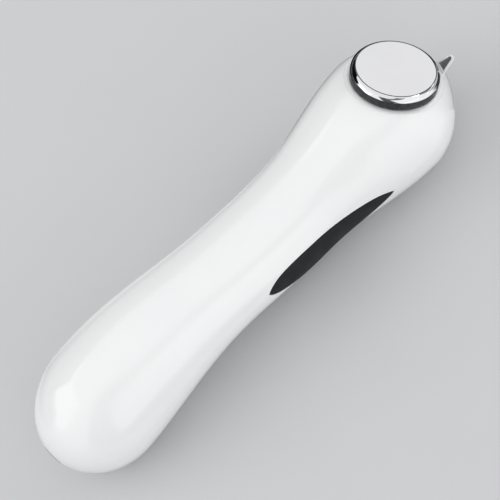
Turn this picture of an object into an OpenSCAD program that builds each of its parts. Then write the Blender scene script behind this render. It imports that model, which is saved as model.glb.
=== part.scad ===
// Facial massager: a waisted two-bulb wand with a tilted metal treatment plate.
// X runs from the tail bulb to the head, Z is up, and the back rests on Z = 0.
// Inside the model, body coordinates are used: X from the tail end, Z from the axis.

/* [Body] */
// Length of the body shells, tail end to nose
body_length = 190.8; // [185:1:200]
// Width of the tail bulb
tail_width = 46; // [44:0.5:50]
// Depth of the tail bulb
tail_depth = 44.6; // [44:0.5:48]
// Width of the waist
waist_width = 37.1; // [35.5:0.5:40]
// Depth of the waist
waist_depth = 31.8; // [31:0.5:34]
// Width of the head
head_width = 49; // [48:0.5:53]
// Depth of the head
head_depth = 44.6; // [44:0.5:48]
// Widest station of the tail bulb
tail_x = 26.4; // [25:0.5:28]
// Station where the waist begins
waist_start = 89.8; // [86:0.5:92]
// Distance from the nose back to the end of the waist
waist_back = 72; // [69:0.5:75]
// Distance from the nose back to the widest station of the head
head_back = 25.4; // [24:0.2:26.6]
// Bluntness of the nose, lower is blunter
nose_power = 0.75; // [0.6:0.05:0.9]
// Wall thickness of both shells
wall = 2.2; // [1.8:0.1:2.4]
// Gap along the parting line
seam_gap = 0.1; // [0.05:0.05:0.2]
// Height of the axis above the surface it rests on
rest_height = 22.2; // [21.8:0.1:22.4]

/* [Treatment plate] */
// Distance from the nose back to the centre of the facet that carries the plate
facet_back = 16.2; // [15:0.2:17.8]
// Height of that centre above the axis
facet_z = 12.6; // [12:0.2:13.4]
// Tilt of the plate toward the nose
plate_tilt = 35.4; // [34:0.2:36.4]
// Diameter of the flat treatment face
plate_face_dia = 28; // [27:0.2:29]
// Outer diameter of the plate
plate_dia = 31.2; // [31:0.2:32]
// Radius of the rounded rim
rim_radius = 2.4; // [2:0.1:2.8]
// How far the face stands above the facet
plate_rise = 5.7; // [5.2:0.1:6.2]
// Thickness of the plate's metal
plate_metal = 1.2; // [1:0.1:1.6]
// Diameter of the plate's neck in the shell
neck_dia = 27; // [26:0.5:28]
// Thickness of the sealing gasket under the rim
gasket_thick = 1; // [0.6:0.1:1.2]

/* [Cotton ring] */
// Radial gap between the ring and the plate
ring_gap = 0.35; // [0.3:0.05:0.6]
// Radial width of the ring
ring_wall = 1.5; // [1.2:0.1:1.8]
// Height of the ring
ring_height = 1.6; // [1.2:0.1:2]
// Length of the lift tab, from its root inside the ring to its round tip
tab_length = 7.2; // [6:0.2:8]
// Width of the tab at its root
tab_base = 6.4; // [5:0.2:7]
// Width of the tab at its tip
tab_width = 3.3; // [2.4:0.1:4]
// Thickness of the tab
tab_thick = 1.1; // [0.9:0.1:1.2]
// Angle by which the ring is turned, so that the tab points off the nose toward the -Y side
tab_turn = 15; // [0:1:20]
// Angle by which the tab rises out of the ring's plane
tab_lift = 49; // [44:1:54]

/* [Grip inlays] */
// Station of the inlay's tail tip
inlay_start = 93; // [92:0.5:96]
// Distance from the nose back to the inlay's head tip
inlay_back = 43.1; // [41:0.5:47]
// Height of the inlay's upper bulge, over the line between its tips
inlay_rise = 3.1; // [2.6:0.1:3.8]
// Depth of the inlay's lower bulge, under the line between its tips
inlay_sag = 9; // [8.4:0.2:9.4]
// Height of the tail tip above the spine
tail_tip_rise = 1.4; // [1:0.1:1.8]
// Depth of the head tip below the spine
head_tip_drop = 0.9; // [0.4:0.1:1.4]
// How far the inlay stands above the shell
inlay_proud = 0.4; // [0.2:0.1:0.6]
// Depth of the inlay's recess in the shell
inlay_depth = 1.1; // [0.8:0.1:1.2]

/* [Control panel] */
// Station of the panel's middle
panel_x = 112; // [110:0.5:113]
// Length of the panel
panel_length = 50; // [48:1:54]
// Width of the panel
panel_width = 16; // [15:0.5:18]
// Thickness of the panel
panel_thick = 0.8; // [0.6:0.1:1]
// Diameter of the two buttons
button_dia = 9; // [8:0.5:10]
// How far the buttons stand above the panel
button_proud = 0.7; // [0.5:0.1:1]
// Distance between the two buttons
button_pitch = 15; // [14:0.5:17]
// Travel of the buttons
button_travel = 0.4; // [0.3:0.05:0.6]
// Gap between a button and its hole
button_gap = 0.25; // [0.2:0.05:0.4]
// Diameter of the three light pipes
light_dia = 2.4; // [2:0.2:3]
// Distance between the light pipes
light_pitch = 3.6; // [3.4:0.1:4]

/* [Circuit board] */
// Station of the board's tail end
board_start = 82; // [81:0.5:84]
// Length of the board
board_length = 64; // [63:1:66]
// Width of the board
board_width = 23; // [22:0.5:24]
// Thickness of the board
board_thick = 1.6; // [1.2:0.2:1.6]
// Height of the board's underside, from the axis
board_z = -7.6; // [-8:0.1:-7.2]
// Size of the push switches
switch_size = 6; // [5:0.5:7]
// Height of the push switch bodies
switch_height = 3.4; // [3:0.1:3.6]

/* [Battery] */
// Diameter of the cell
cell_dia = 14.1; // [13.5:0.1:14.5]
// Length of the cell
cell_length = 49; // [46:1:50]
// Distance from the cell's head end to the board
cell_to_board = 5; // [4.5:0.5:6]
// Height of the cell's axis
cell_z = 0.5; // [0:0.1:1]

/* [Motor] */
// Diameter of the vibration motor
motor_dia = 10; // [9:0.5:10.5]
// Length of the motor can
motor_length = 17; // [15:0.5:18]
// Distance from the nose back to the motor's tail end
motor_back = 40.8; // [40:0.2:41.6]
// Height of the motor's axis
motor_z = -9; // [-10:0.25:-8.5]
// Diameter of the motor shaft
shaft_dia = 1.5; // [1:0.1:2]
// Radius of the eccentric weight
weight_radius = 4.4; // [3.5:0.1:5]
// Length of the eccentric weight
weight_length = 5; // [4:0.5:6]

/* [Charging socket] */
// Bore of the socket
socket_bore = 2.6; // [2.2:0.1:3]
// Depth of the socket
socket_depth = 9; // [7:0.5:10]
// Diameter of the socket barrel
barrel_dia = 5.6; // [5:0.2:6]
// Diameter of the trim ring round the socket
bezel_dia = 8.4; // [8:0.2:9]

/* [Fasteners] */
// Shank diameter of the housing screws
screw_dia = 2.6; // [2:0.1:3]
// Head diameter of the housing screws
screw_head = 4.6; // [4:0.1:5]
// Length of the housing screws under the head
screw_length = 14; // [12:1:16]
// Shank diameter of the small inner screws
small_screw_dia = 1.7; // [1.4:0.1:2]
// Head diameter of the small inner screws
small_screw_head = 3.2; // [2.8:0.1:3.4]
// Clearance between parts that fit together
fit = 0.2; // [0.15:0.05:0.25]

/* [Hidden] */
$fn = 48;
eps = 0.01;
stations = 40;
arc_steps = 16;

// Reach of the cuts that run clear past the body, and of the posts that a wall trims
reach = 60;
back_reach = 25;
post_reach = 30;

// Stations set from the nose, so that the head keeps its shape when the length changes
waist_end = body_length - waist_back;
head_x = body_length - head_back;
facet_x = body_length - facet_back;
inlay_end = body_length - inlay_back;
motor_x = body_length - motor_back;

// The spine, the curve that both section centres and the parting line follow
spine_keys = [[0, -3.1], [0.317, 2.8], [0.6, -1.8], [0.887, -0.2], [1, -2.3]];

// Housing screws and inner posts, as station and side distance
screw_tail_x = 32;
screw_head_x = body_length - 41.8;
screw_y = 13.5;
screw_depth = 6;
screw_head_height = 2;
boss_wall = 1.8;
boss_dia = screw_dia + 2 * boss_wall;
small_boss_dia = small_screw_dia + 3.3;
small_hole_depth = 5;
housing_screws_at = [for (x = [screw_tail_x, screw_head_x], s = [-1, 1]) [x, s * screw_y]];

cell_x = board_start - cell_to_board - cell_length;
cell_stop = cell_x + cell_length;
tray_margin = 1.5;
tray_bottom = cell_z - cell_dia / 2 - fit - tray_margin;
tray_ear = 2;
tray_y = cell_dia / 2 + fit + tray_margin + small_boss_dia / 2;
tray_x = cell_x + cell_length / 2;

damper_thick = 1.2;
cradle_wall = 1.6;
cradle_radius = motor_dia / 2 + damper_thick + fit / 2;
cradle_y = cradle_radius + cradle_wall + small_boss_dia / 2 + fit;
cradle_x = motor_x + motor_length / 2;
cradle_bottom = motor_z - cradle_radius - cradle_wall;
cradle_length = 12;
ear_thick = 2;

board_y = board_width / 2 - small_boss_dia / 2 - 0.4;
board_posts_at = [for (x = [board_start + 4, board_start + board_length - 4], s = [-1, 1]) [x, s * board_y]];
board_top = board_z + board_thick;
solder = 0.05;
lead_dia = 1;
lead_gap = 0.2;

power_x = panel_x - 10;
mode_x = power_x + button_pitch;
button_flange = 0.8;
flange_extra = 1;
plunger_dia = 3.4;
plunger_rise = 0.9;
switch_z = board_z - solder - switch_height;
light_x = mode_x + button_dia / 2 + 3.5;
light_pipes_at = [for (i = [0 : 2]) light_x + i * light_pitch];
led_size = 2;
led_height = 0.9;

small_head_height = 1.3;
foam_thick = 3;
carrier_top = -wall - 1 - fit / 2;
carrier_thick = 1.8;
ring_inner = plate_dia / 2 + ring_gap;
ring_outer = ring_inner + ring_wall;
ring_seat = 0.15;
tab_root = 0.5;
stud_x = mix(inlay_start, inlay_end, 0.53);
stud_dia = 3;

connector_size = [4, 10, 4];
connectors_at = [board_start + 1, board_start + board_length - 1 - connector_size[0]];
pins_at = [-3.6, -1.2, 1.2, 3.6];
pin_z = board_top + connector_size[2] / 2;

socket_z = spine(0);
jack_size = [socket_depth + 3, 9, 7];
bezel_thick = 1.2;

clamp_screws_at = [for (a = [90, 210, 330]) 9.4 * [cos(a), sin(a)]];

// The part runs from the trim ring to the lift tab, and its origin lies under the middle
bezel_front = 0.25;
tab_end = max([for (p = tab_outline(), c = [-0.5, 0.5]) tab_point(p[0], p[1], c * tab_thick)[0]]);
origin_x = (bezel_front + tab_end) / 2;

// Curves of the body

function clamp01(t) = min(1, max(0, t));
function ease(t) = 0.5 - 0.5 * cos(180 * clamp01(t));
function mix(a, b, t) = a + (b - a) * t;

// Height of the spine at station x, eased from key to key
function spine(x) =
    let (
        t = x / body_length,
        i = max([for (k = [0 : len(spine_keys) - 2]) t >= spine_keys[k][0] ? k : 0]),
        a = spine_keys[i],
        b = spine_keys[i + 1]
    )
    mix(a[1], b[1], ease((t - a[0]) / (b[0] - a[0])));

// Half size of the section at station x, for the three sizes given, moved in by inset
function half_size(x, tail, waist, head, inset) =
    x < tail_x ? (tail / 2 - inset) * sqrt(max(0, 1 - pow((tail_x - x) / (tail_x - inset), 2))) :
    x < waist_start ? mix(tail, waist, ease((x - tail_x) / (waist_start - tail_x))) / 2 - inset :
    x < waist_end ? waist / 2 - inset :
    x < head_x ? mix(waist, head, ease((x - waist_end) / (head_x - waist_end))) / 2 - inset :
    (head / 2 - inset) * pow(max(0, 1 - pow((x - head_x) / (body_length - head_x - inset), 2)), nose_power);

function half_width(x, inset = 0) = half_size(x, tail_width, waist_width, head_width, inset);
function half_depth(x, inset = 0) = half_size(x, tail_depth, waist_depth, head_depth, inset);

// Point of the body surface at station x and angle a, measured from the +Y side
function skin(x, a, inset = 0) =
    [x, half_width(x, inset) * cos(a), spine(x) + half_depth(x, inset) * sin(a)];

// Height of the back surface over the point x, y
function back_z(x, y, inset = 0) =
    spine(x) - half_depth(x, inset) * sqrt(max(0, 1 - pow(y / half_width(x, inset), 2)));

// Width of the side surface at the point x, z
function side_y(x, z, inset = 0) =
    half_width(x, inset) * sqrt(max(0, 1 - pow((z - spine(x)) / half_depth(x, inset), 2)));

// Modules that build solids from rings of points

// Closed solid through rings of equal length, with a pole point at each end
module loft(rings, first, last) {
    n = len(rings[0]);
    m = len(rings);
    points = concat([first], [for (r = rings, p = r) p], [last]);
    caps = [for (j = [0 : n - 1]) each [
        [0, 1 + j, 1 + (j + 1) % n],
        [m * n + 1, 1 + (m - 1) * n + (j + 1) % n, 1 + (m - 1) * n + j]
    ]];
    sides = [for (i = [0 : m - 2], j = [0 : n - 1])
        let (a = 1 + i * n + j, b = 1 + i * n + (j + 1) % n)
        each [[a, b + n, b], [a, a + n, b + n]]];
    polyhedron(points, concat(caps, sides), convexity = 8);
}

// Closed slab between two grids of points that have the same rows and columns
module slab(top, bottom) {
    rows = len(top);
    cols = len(top[0]);
    k = rows * cols;
    points = concat([for (r = top, p = r) p], [for (r = bottom, p = r) p]);
    edge = concat(
        [for (j = [0 : cols - 1]) j],
        [for (i = [1 : rows - 1]) i * cols + cols - 1],
        [for (j = [cols - 2 : -1 : 0]) (rows - 1) * cols + j],
        [for (i = [rows - 2 : -1 : 1]) i * cols]
    );
    faces = [for (i = [0 : rows - 2], j = [0 : cols - 2])
        let (a = i * cols + j)
        each [
            [a, a + 1, a + cols + 1], [a, a + cols + 1, a + cols],
            [k + a, k + a + cols + 1, k + a + 1], [k + a, k + a + cols, k + a + cols + 1]
        ]];
    rim = [for (e = [0 : len(edge) - 1])
        let (a = edge[e], b = edge[(e + 1) % len(edge)])
        each [[a, k + b, b], [a, k + a, k + b]]];
    polyhedron(points, concat(faces, rim), convexity = 4);
}

// Round tube of the given diameter along a list of points
module wire(path, dia) {
    n = len(path);
    sides = 8;
    rings = [for (i = [0 : n - 1])
        let (
            ahead = path[min(i + 1, n - 1)] - path[max(i - 1, 0)],
            t = ahead / norm(ahead),
            u0 = cross(t, abs(t[2]) < 0.9 ? [0, 0, 1] : [0, 1, 0]),
            u = u0 / norm(u0),
            v = cross(t, u)
        )
        [for (j = [0 : sides - 1])
            path[i] + dia / 2 * (cos(360 * j / sides) * u + sin(360 * j / sides) * v)]];
    loft(rings, path[0], path[n - 1]);
}

// Point at t on the smooth curve through four neighbouring points
function spline_point(p0, p1, p2, p3, t) =
    0.5 * (2 * p1 + (p2 - p0) * t + (2 * p0 - 5 * p1 + 4 * p2 - p3) * t * t
        + (3 * p1 - p0 - 3 * p2 + p3) * t * t * t);

// Smooth path through hand-placed points, with a few steps in each span
function smooth(keys, steps = 4) =
    let (n = len(keys))
    concat(
        [for (i = [0 : n - 2], s = [0 : steps - 1])
            spline_point(keys[max(i - 1, 0)], keys[i], keys[i + 1], keys[min(i + 2, n - 1)], s / steps)],
        [keys[n - 1]]
    );

// Whole body volume, with its surface moved in by inset, in n stations of 2 m points
module body_volume(inset = 0, n = stations, m = arc_steps) {
    span = body_length - 2 * inset;
    xs = [for (i = [1 : n - 1]) inset + span * (1 - cos(180 * i / n)) / 2];
    loft(
        [for (x = xs) [for (j = [0 : 2 * m - 1]) skin(x, 180 * j / m, inset)]],
        [inset, 0, spine(inset)],
        [body_length - inset, 0, spine(body_length - inset)]
    );
}

// Half of the body volume, in front of the spine (side 1) or behind it (side -1)
module half_volume(side) {
    xs = [for (i = [1 : stations - 1]) body_length * (1 - cos(180 * i / stations)) / 2];
    first = side > 0 ? 0 : 180;
    rings = [for (x = xs) [for (j = [0 : arc_steps]) skin(x, first + 180 * j / arc_steps)]];
    translate([0, 0, side * seam_gap / 2])
        loft(rings, [0, 0, spine(0)], [body_length, 0, spine(body_length)]);
}

// Places children on the facet: origin at its centre, Z along its normal, X toward the nose
module at_facet() {
    translate([facet_x, 0, facet_z])
        rotate([0, plate_tilt, 0])
            children();
}

// Half space in front of the facet, moved by h along the facet's normal
module beyond_facet(h = 0) {
    at_facet()
        translate([-reach, -reach, h])
            cube([2 * reach, 2 * reach, reach]);
}

// Edges of the leaf-shaped inlay at t, which runs from 0 at the tail tip to 1 at the head tip
// The upper edge is flat and drops near both tips, and the lower edge is fullest toward the tail
function inlay_line(t) = mix(spine(inlay_start) + tail_tip_rise, spine(inlay_end) - head_tip_drop, t);
function inlay_upper(t) = inlay_line(t) + inlay_rise * (1 - pow(abs(2 * t - 1), 7));
function inlay_lower(t) = inlay_line(t) - inlay_sag * pow(sin(180 * pow(t, 0.8)), 0.8);

// Leaf-shaped patch of the side wall from inset a to inset b, grown outward by g
// Its stations lie closer together near the two tips
module inlay_patch(side, a, b, g) {
    rows = 24;
    cols = 4;
    function at(i, j, inset) =
        let (
            t = (1 - cos(180 * i / rows)) / 2,
            x = mix(inlay_start - 2 * g, inlay_end + 2 * g, t),
            z = mix(inlay_lower(t) - g, inlay_upper(t) + g, j / cols)
        )
        [x, side * side_y(x, z, inset), z];
    outer = [for (i = [0 : rows]) [for (j = [0 : cols]) at(i, j, a)]];
    inner = [for (i = [0 : rows]) [for (j = [0 : cols]) at(i, j, b)]];
    if (side < 0) slab(outer, inner);
    else slab(inner, outer);
}

// Oval patch of the back wall from inset a to inset b, grown outward by g
module panel_patch(a, b, g) {
    rows = 20;
    cols = 6;
    function at(i, j, inset) =
        let (
            q = 180 * i / rows,
            x = panel_x - (panel_length / 2 + g) * cos(q),
            w = (panel_width / 2 + g) * pow(max(0.002, sin(q)), 0.7),
            y = mix(-w, w, j / cols)
        )
        [x, y, back_z(x, y, inset)];
    slab(
        [for (i = [0 : rows]) [for (j = [0 : cols]) at(i, j, b)]],
        [for (i = [0 : rows]) [for (j = [0 : cols]) at(i, j, a)]]
    );
}

// Shells

// Height of the seat on which a housing screw's head bears
function screw_seat(x) = spine(x) - screw_depth;

module front_shell() {
    color("white")
        difference() {
            union() {
                difference() {
                    half_volume(1);
                    beyond_facet();
                    difference() {
                        body_volume(wall);
                        beyond_facet(-wall);
                    }
                }
                intersection() {
                    body_volume(wall / 2, 20, 10);
                    front_posts();
                }
            }
            for (p = housing_screws_at)
                translate([p[0], p[1], spine(p[0]) - 1])
                    cylinder(h = screw_seat(p[0]) + screw_length + 2 - spine(p[0]), d = screw_dia);
            at_facet()
                translate([0, 0, -wall - 1])
                    cylinder(h = wall + 2, d = neck_dia + 2 * fit, $fn = 96);
            socket_hole();
            for (s = [-1, 1])
                inlay_patch(s, -2, inlay_depth, fit);
            stud_holes();
        }
}

// Bosses for the housing screws and the two posts that press on the cell's foam
module front_posts() {
    for (p = housing_screws_at)
        translate([p[0], p[1], spine(p[0]) + seam_gap / 2])
            cylinder(h = post_reach, d = boss_dia);
    for (x = [cell_x + cell_length * 0.25, cell_x + cell_length * 0.75])
        translate([x, 0, foam_top() + fit])
            cylinder(h = post_reach, d = boss_dia);
}

module rear_shell() {
    color("white")
        difference() {
            union() {
                difference() {
                    half_volume(-1);
                    body_volume(wall);
                }
                intersection() {
                    body_volume(wall / 2, 20, 10);
                    rear_posts();
                }
            }
            translate([-reach, -reach, -rest_height - reach])
                cube([body_length + 2 * reach, 2 * reach, reach]);
            for (p = housing_screws_at)
                translate([p[0], p[1], -post_reach]) {
                    cylinder(h = post_reach + spine(p[0]) + 1, d = screw_dia + 2 * fit);
                    cylinder(h = post_reach + screw_seat(p[0]), d = screw_head + 2 * fit);
                }
            socket_hole();
            for (s = [-1, 1])
                inlay_patch(s, -2, inlay_depth, fit);
            stud_holes();
            panel_patch(-2, panel_thick + fit / 2, fit);
            for (x = [power_x, mode_x])
                button_hole(x);
            for (x = light_pipes_at)
                back_hole(x, light_dia + fit);
            small_holes();
        }
}

// Bosses for the housing screws, and posts under the tray, the board and the motor
module rear_posts() {
    for (p = housing_screws_at)
        translate([p[0], p[1], spine(p[0]) - seam_gap / 2 - post_reach])
            cylinder(h = post_reach, d = boss_dia);
    for (p = post_places())
        translate([p[0], p[1], p[2] - post_reach])
            cylinder(h = post_reach, d = small_boss_dia);
    translate([jack_size[0] * 0.75, 0, socket_z - jack_size[2] / 2 - solder - post_reach])
        cylinder(h = post_reach, d = boss_dia);
}

// Tops of the small posts, as x, y and z
function post_places() = concat(
    [for (s = [-1, 1]) [tray_x, s * tray_y, tray_bottom]],
    [for (p = board_posts_at) [p[0], p[1], board_z]],
    [for (s = [-1, 1]) [cradle_x, s * cradle_y, motor_z - ear_thick]]
);

// Pilot holes in the small posts
module small_holes() {
    for (p = post_places())
        translate([p[0], p[1], p[2] - small_hole_depth])
            cylinder(h = small_hole_depth + 1, d = small_screw_dia);
}

module socket_hole() {
    translate([-1, 0, socket_z])
        rotate([0, 90, 0])
            cylinder(h = 6, d = barrel_dia + 2 * fit);
    translate([-1, 0, socket_z])
        rotate([0, 90, 0])
            cylinder(h = 1 + bezel_thick + fit, d = bezel_dia + fit);
}

module stud_holes() {
    for (s = [-1, 1])
        translate([stud_x, s * 8, stud_z()])
            rotate([-s * 90, 0, 0])
                cylinder(h = reach, d = stud_dia + fit);
}

// The studs lie in the middle of the inlays' height, behind the parting line
function stud_z() =
    let (t = (stud_x - inlay_start) / (inlay_end - inlay_start))
    (inlay_lower(t) + inlay_upper(t)) / 2 - 1.5;

// Grip inlays

module grip_inlay(side) {
    root = side_y(stud_x, stud_z(), inlay_depth * 0.3);
    tip = side_y(stud_x, stud_z(), wall + 1);
    color("dimgray")
        union() {
            inlay_patch(side, -inlay_proud, inlay_depth - fit / 2, 0);
            translate([stud_x, side * tip, stud_z()])
                rotate([-side * 90, 0, 0])
                    cylinder(h = root - tip, d = stud_dia);
        }
}

module left_grip_inlay() {
    grip_inlay(1);
}

module right_grip_inlay() {
    grip_inlay(-1);
}

// Treatment head, drawn on the facet

module treatment_plate() {
    r = plate_dia / 2;
    face = plate_face_dia / 2;
    rim = [r - rim_radius, plate_rise - sqrt(pow(rim_radius, 2) - pow(face - r + rim_radius, 2))];
    neck = neck_dia / 2;
    color("silver")
        at_facet() {
            rotate_extrude($fn = 96)
                difference() {
                    union() {
                        translate([0, gasket_thick])
                            square([r, rim[1] - gasket_thick]);
                        translate([0, rim[1] - eps])
                            square([rim[0], plate_rise - rim[1] + eps]);
                        intersection() {
                            translate(rim)
                                circle(r = rim_radius);
                            translate([rim[0] - eps, rim[1] - eps])
                                square([rim_radius + 1, plate_rise - rim[1] + eps]);
                        }
                        translate([0, -wall - 1])
                            square([neck, wall + 2]);
                    }
                    translate([-1, -wall - 2])
                        square([neck - plate_metal + 1, plate_rise + wall + 2 - plate_metal]);
                }
            for (p = clamp_screws_at)
                translate([p[0], p[1], -wall])
                    difference() {
                        cylinder(h = plate_rise - plate_metal + wall + 0.2, d = 3.6);
                        translate([0, 0, -1])
                            cylinder(h = 5.5, d = small_screw_dia);
                    }
        }
}

module plate_gasket() {
    color("gainsboro")
        at_facet()
            difference() {
                cylinder(h = gasket_thick, d = plate_dia - 1.2, $fn = 96);
                translate([0, 0, -1])
                    cylinder(h = gasket_thick + 2, d = neck_dia + fit, $fn = 96);
            }
}

// Plastic ring that draws the plate down from inside the shell
module plate_carrier() {
    color("ivory")
        at_facet()
            difference() {
                translate([0, 0, carrier_top - carrier_thick])
                    cylinder(h = carrier_thick, d = neck_dia + 3, $fn = 96);
                translate([0, 0, carrier_top - carrier_thick - 1])
                    cylinder(h = carrier_thick + 2, d = 9);
                for (p = clamp_screws_at)
                    translate([p[0], p[1], carrier_top - carrier_thick - 1])
                        cylinder(h = carrier_thick + 2, d = small_screw_dia + fit);
            }
}

module plate_screws() {
    color("silver")
        at_facet()
            for (p = clamp_screws_at)
                translate([p[0], p[1], carrier_top - carrier_thick - solder])
                    mirror([0, 0, 1])
                        small_screw(6);
}

module heater_pad() {
    color("orange")
        at_facet()
            translate([0, 0, plate_rise - plate_metal - 1.2])
                cylinder(h = 1, d = 14);
}

module thermistor() {
    color("black")
        at_facet()
            translate([-1.5, -1, plate_rise - plate_metal - 1.2 - 1.3 - solder])
                cube([3, 2, 1.3]);
}

// Cotton ring, which presses a cotton sheet round the plate

// Outline of the lift tab in its own plane, which runs along X from its root to its round tip
function tab_outline() =
    let (r = tab_width / 2)
    concat(
        [[-tab_root, -tab_base / 2], [0, -tab_base / 2]],
        [for (a = [-80 : 10 : 80]) [tab_length - r + r * cos(a), r * sin(a)]],
        [[0, tab_base / 2], [-tab_root, tab_base / 2]]
    );

// Point of the tab at s along it, t across it and c through it, in body coordinates
function tab_point(s, t, c) =
    let (
        r = ring_outer - tab_root + s * cos(tab_lift) - c * sin(tab_lift),
        h = ring_seat + ring_height / 2 + s * sin(tab_lift) + c * cos(tab_lift)
    )
    facet_point(r * cos(tab_turn) + t * sin(tab_turn), t * cos(tab_turn) - r * sin(tab_turn), h);

module cotton_ring() {
    color("lightcyan", 0.5)
        at_facet()
            rotate([0, 0, -tab_turn])
                union() {
                    translate([0, 0, ring_seat])
                        difference() {
                            cylinder(h = ring_height, r = ring_outer, $fn = 96);
                            translate([0, 0, -1])
                                cylinder(h = ring_height + 2, r = ring_inner, $fn = 96);
                        }
                    translate([ring_outer - tab_root, 0, ring_seat + ring_height / 2])
                        rotate([0, -tab_lift, 0])
                            translate([0, 0, -tab_thick / 2])
                                linear_extrude(height = tab_thick)
                                    polygon(tab_outline());
                }
}

// Control panel and buttons on the back of the waist

// Height of the inner seat on which a button's flange rests
function flange_seat(x) = back_z(x, 0, wall) + 0.25;

// Hole through the back at station x, which stops well short of the axis
module back_hole(x, d) {
    translate([x, 0, -back_reach])
        cylinder(h = back_reach - 10, d = d);
}

module button_hole(x) {
    back_hole(x, button_dia + 2 * button_gap);
    translate([x, 0, flange_seat(x)])
        cylinder(h = 6, d = button_dia + 2 * (flange_extra + button_gap));
}

module control_panel() {
    color("slategray")
        difference() {
            panel_patch(0, panel_thick, 0);
            for (x = [power_x, mode_x])
                back_hole(x, button_dia + 2 * button_gap);
            for (x = light_pipes_at)
                back_hole(x, light_dia + fit);
        }
}

// Button cap with its retaining flange and the stem that reaches the switch
module button(x) {
    cap = back_z(x, 0) - button_proud;
    seat = flange_seat(x) + 0.05;
    top = switch_z - plunger_rise - solder;
    translate([x, 0, 0])
        rotate_extrude()
            polygon([
                [0, cap], [button_dia / 2 - 0.6, cap], [button_dia / 2, cap + 0.5], [button_dia / 2, seat],
                [button_dia / 2 + flange_extra, seat], [button_dia / 2 + flange_extra, seat + button_flange],
                [1.6, seat + button_flange], [1.6, top], [0, top]
            ]);
}

module power_button() {
    color("whitesmoke")
        button(power_x);
}

module mode_button() {
    color("whitesmoke")
        button(mode_x);
}

module plunger(x) {
    color("black")
        translate([x, 0, switch_z - plunger_rise])
            cylinder(h = plunger_rise + 1.2, d = plunger_dia);
}

module power_plunger() {
    plunger(power_x);
}

module mode_plunger() {
    plunger(mode_x);
}

module switch_bodies() {
    color("gray")
        for (x = [power_x, mode_x])
            translate([x, 0, switch_z])
                difference() {
                    translate([-switch_size / 2, -switch_size / 2, 0])
                        cube([switch_size, switch_size, switch_height]);
                    translate([0, 0, -1])
                        cylinder(h = 1 + 1.2 + button_travel + 0.3, d = plunger_dia + fit);
                }
}

module light_pipes() {
    color("lightblue", 0.6)
        for (x = light_pipes_at)
            translate([x, 0, 0])
                rotate_extrude()
                    polygon([
                        [0, back_z(x, 0) + 0.1], [light_dia / 2, back_z(x, 0) + 0.1],
                        [light_dia / 2, flange_seat(x)], [light_dia / 2 + 0.5, flange_seat(x)],
                        [light_dia / 2 + 0.5, flange_seat(x) + 1], [light_dia / 2, flange_seat(x) + 1],
                        [light_dia / 2, board_z - led_height - 2 * solder],
                        [0, board_z - led_height - 2 * solder]
                    ]);
}

module indicator_leds() {
    color("lightyellow")
        for (x = light_pipes_at)
            translate([x - led_size / 2, -led_size / 2, board_z - led_height - solder])
                cube([led_size, led_size, led_height]);
}

// Circuit board and its components

module main_board() {
    color("green")
        difference() {
            translate([board_start, -board_width / 2, board_z])
                cube([board_length, board_width, board_thick]);
            for (p = board_posts_at)
                translate([p[0], p[1], board_z - 1])
                    cylinder(h = board_thick + 2, d = small_screw_dia + fit);
        }
}

module board_screws() {
    color("silver")
        for (p = board_posts_at)
            translate([p[0], p[1], board_top + solder])
                small_screw(4 + board_thick);
}

module controller_chip() {
    color("black")
        translate([board_start + 14, -3.5, board_top + solder])
            cube([7, 7, 1.2]);
}

module charger_chip() {
    color("black")
        translate([board_start + 9, -8, board_top + solder])
            cube([3, 4, 1]);
}

// Ferrite coil that steps up the voltage for the treatment plate
module boost_coil() {
    color("saddlebrown")
        translate([board_start + 30, 0, board_top + solder])
            rotate_extrude()
                polygon([[0, 0], [5, 0], [5, 1.2], [3.6, 1.2], [3.6, 5], [5, 5], [5, 6.2], [0, 6.2]]);
}

module capacitors() {
    color("darkslateblue")
        for (x = [board_start + 41, board_start + 49])
            translate([x, 4, board_top + solder])
                cylinder(h = 9, d = 6.3);
}

module buzzer() {
    color("black")
        translate([board_start + 45, -5, board_top + solder])
            difference() {
                cylinder(h = 4.5, d = 9);
                translate([0, 0, 3.5])
                    cylinder(h = 2, d = 1.6);
            }
}

// Plug-in wire connectors at the ends of the board
module wire_connectors() {
    color("ivory")
        for (x = connectors_at)
            translate([x, -connector_size[1] / 2, board_top + solder])
                cube(connector_size);
}

// Charging socket

module charging_jack() {
    color("black")
        difference() {
            union() {
                translate([bezel_thick + 0.2, 0, socket_z])
                    rotate([0, 90, 0])
                        cylinder(h = 5, d = barrel_dia);
                translate([inner_end() + fit, -jack_size[1] / 2, socket_z - jack_size[2] / 2])
                    cube(jack_size);
            }
            translate([bezel_thick, 0, socket_z])
                rotate([0, 90, 0])
                    cylinder(h = 0.2 + socket_depth, d = socket_bore);
        }
}

// Station at which the jack's shoulder clears the inside of the tail dome
function inner_end() =
    tail_x - (tail_x - wall) * sqrt(1 - pow(norm([jack_size[1], jack_size[2]]) / (tail_depth - 2 * wall), 2));

module jack_bezel() {
    color("gray")
        translate([bezel_front, 0, socket_z])
            rotate([0, 90, 0])
                difference() {
                    cylinder(h = bezel_thick - bezel_front, d = bezel_dia);
                    translate([0, 0, -1])
                        cylinder(h = bezel_thick + 2, d = socket_bore + 1);
                }
}

// Battery

module battery_cell() {
    color("royalblue")
        translate([cell_x, 0, cell_z])
            rotate([0, 90, 0]) {
                cylinder(h = cell_length - 1, d = cell_dia);
                cylinder(h = cell_length, d = 5.5);
            }
}

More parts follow.
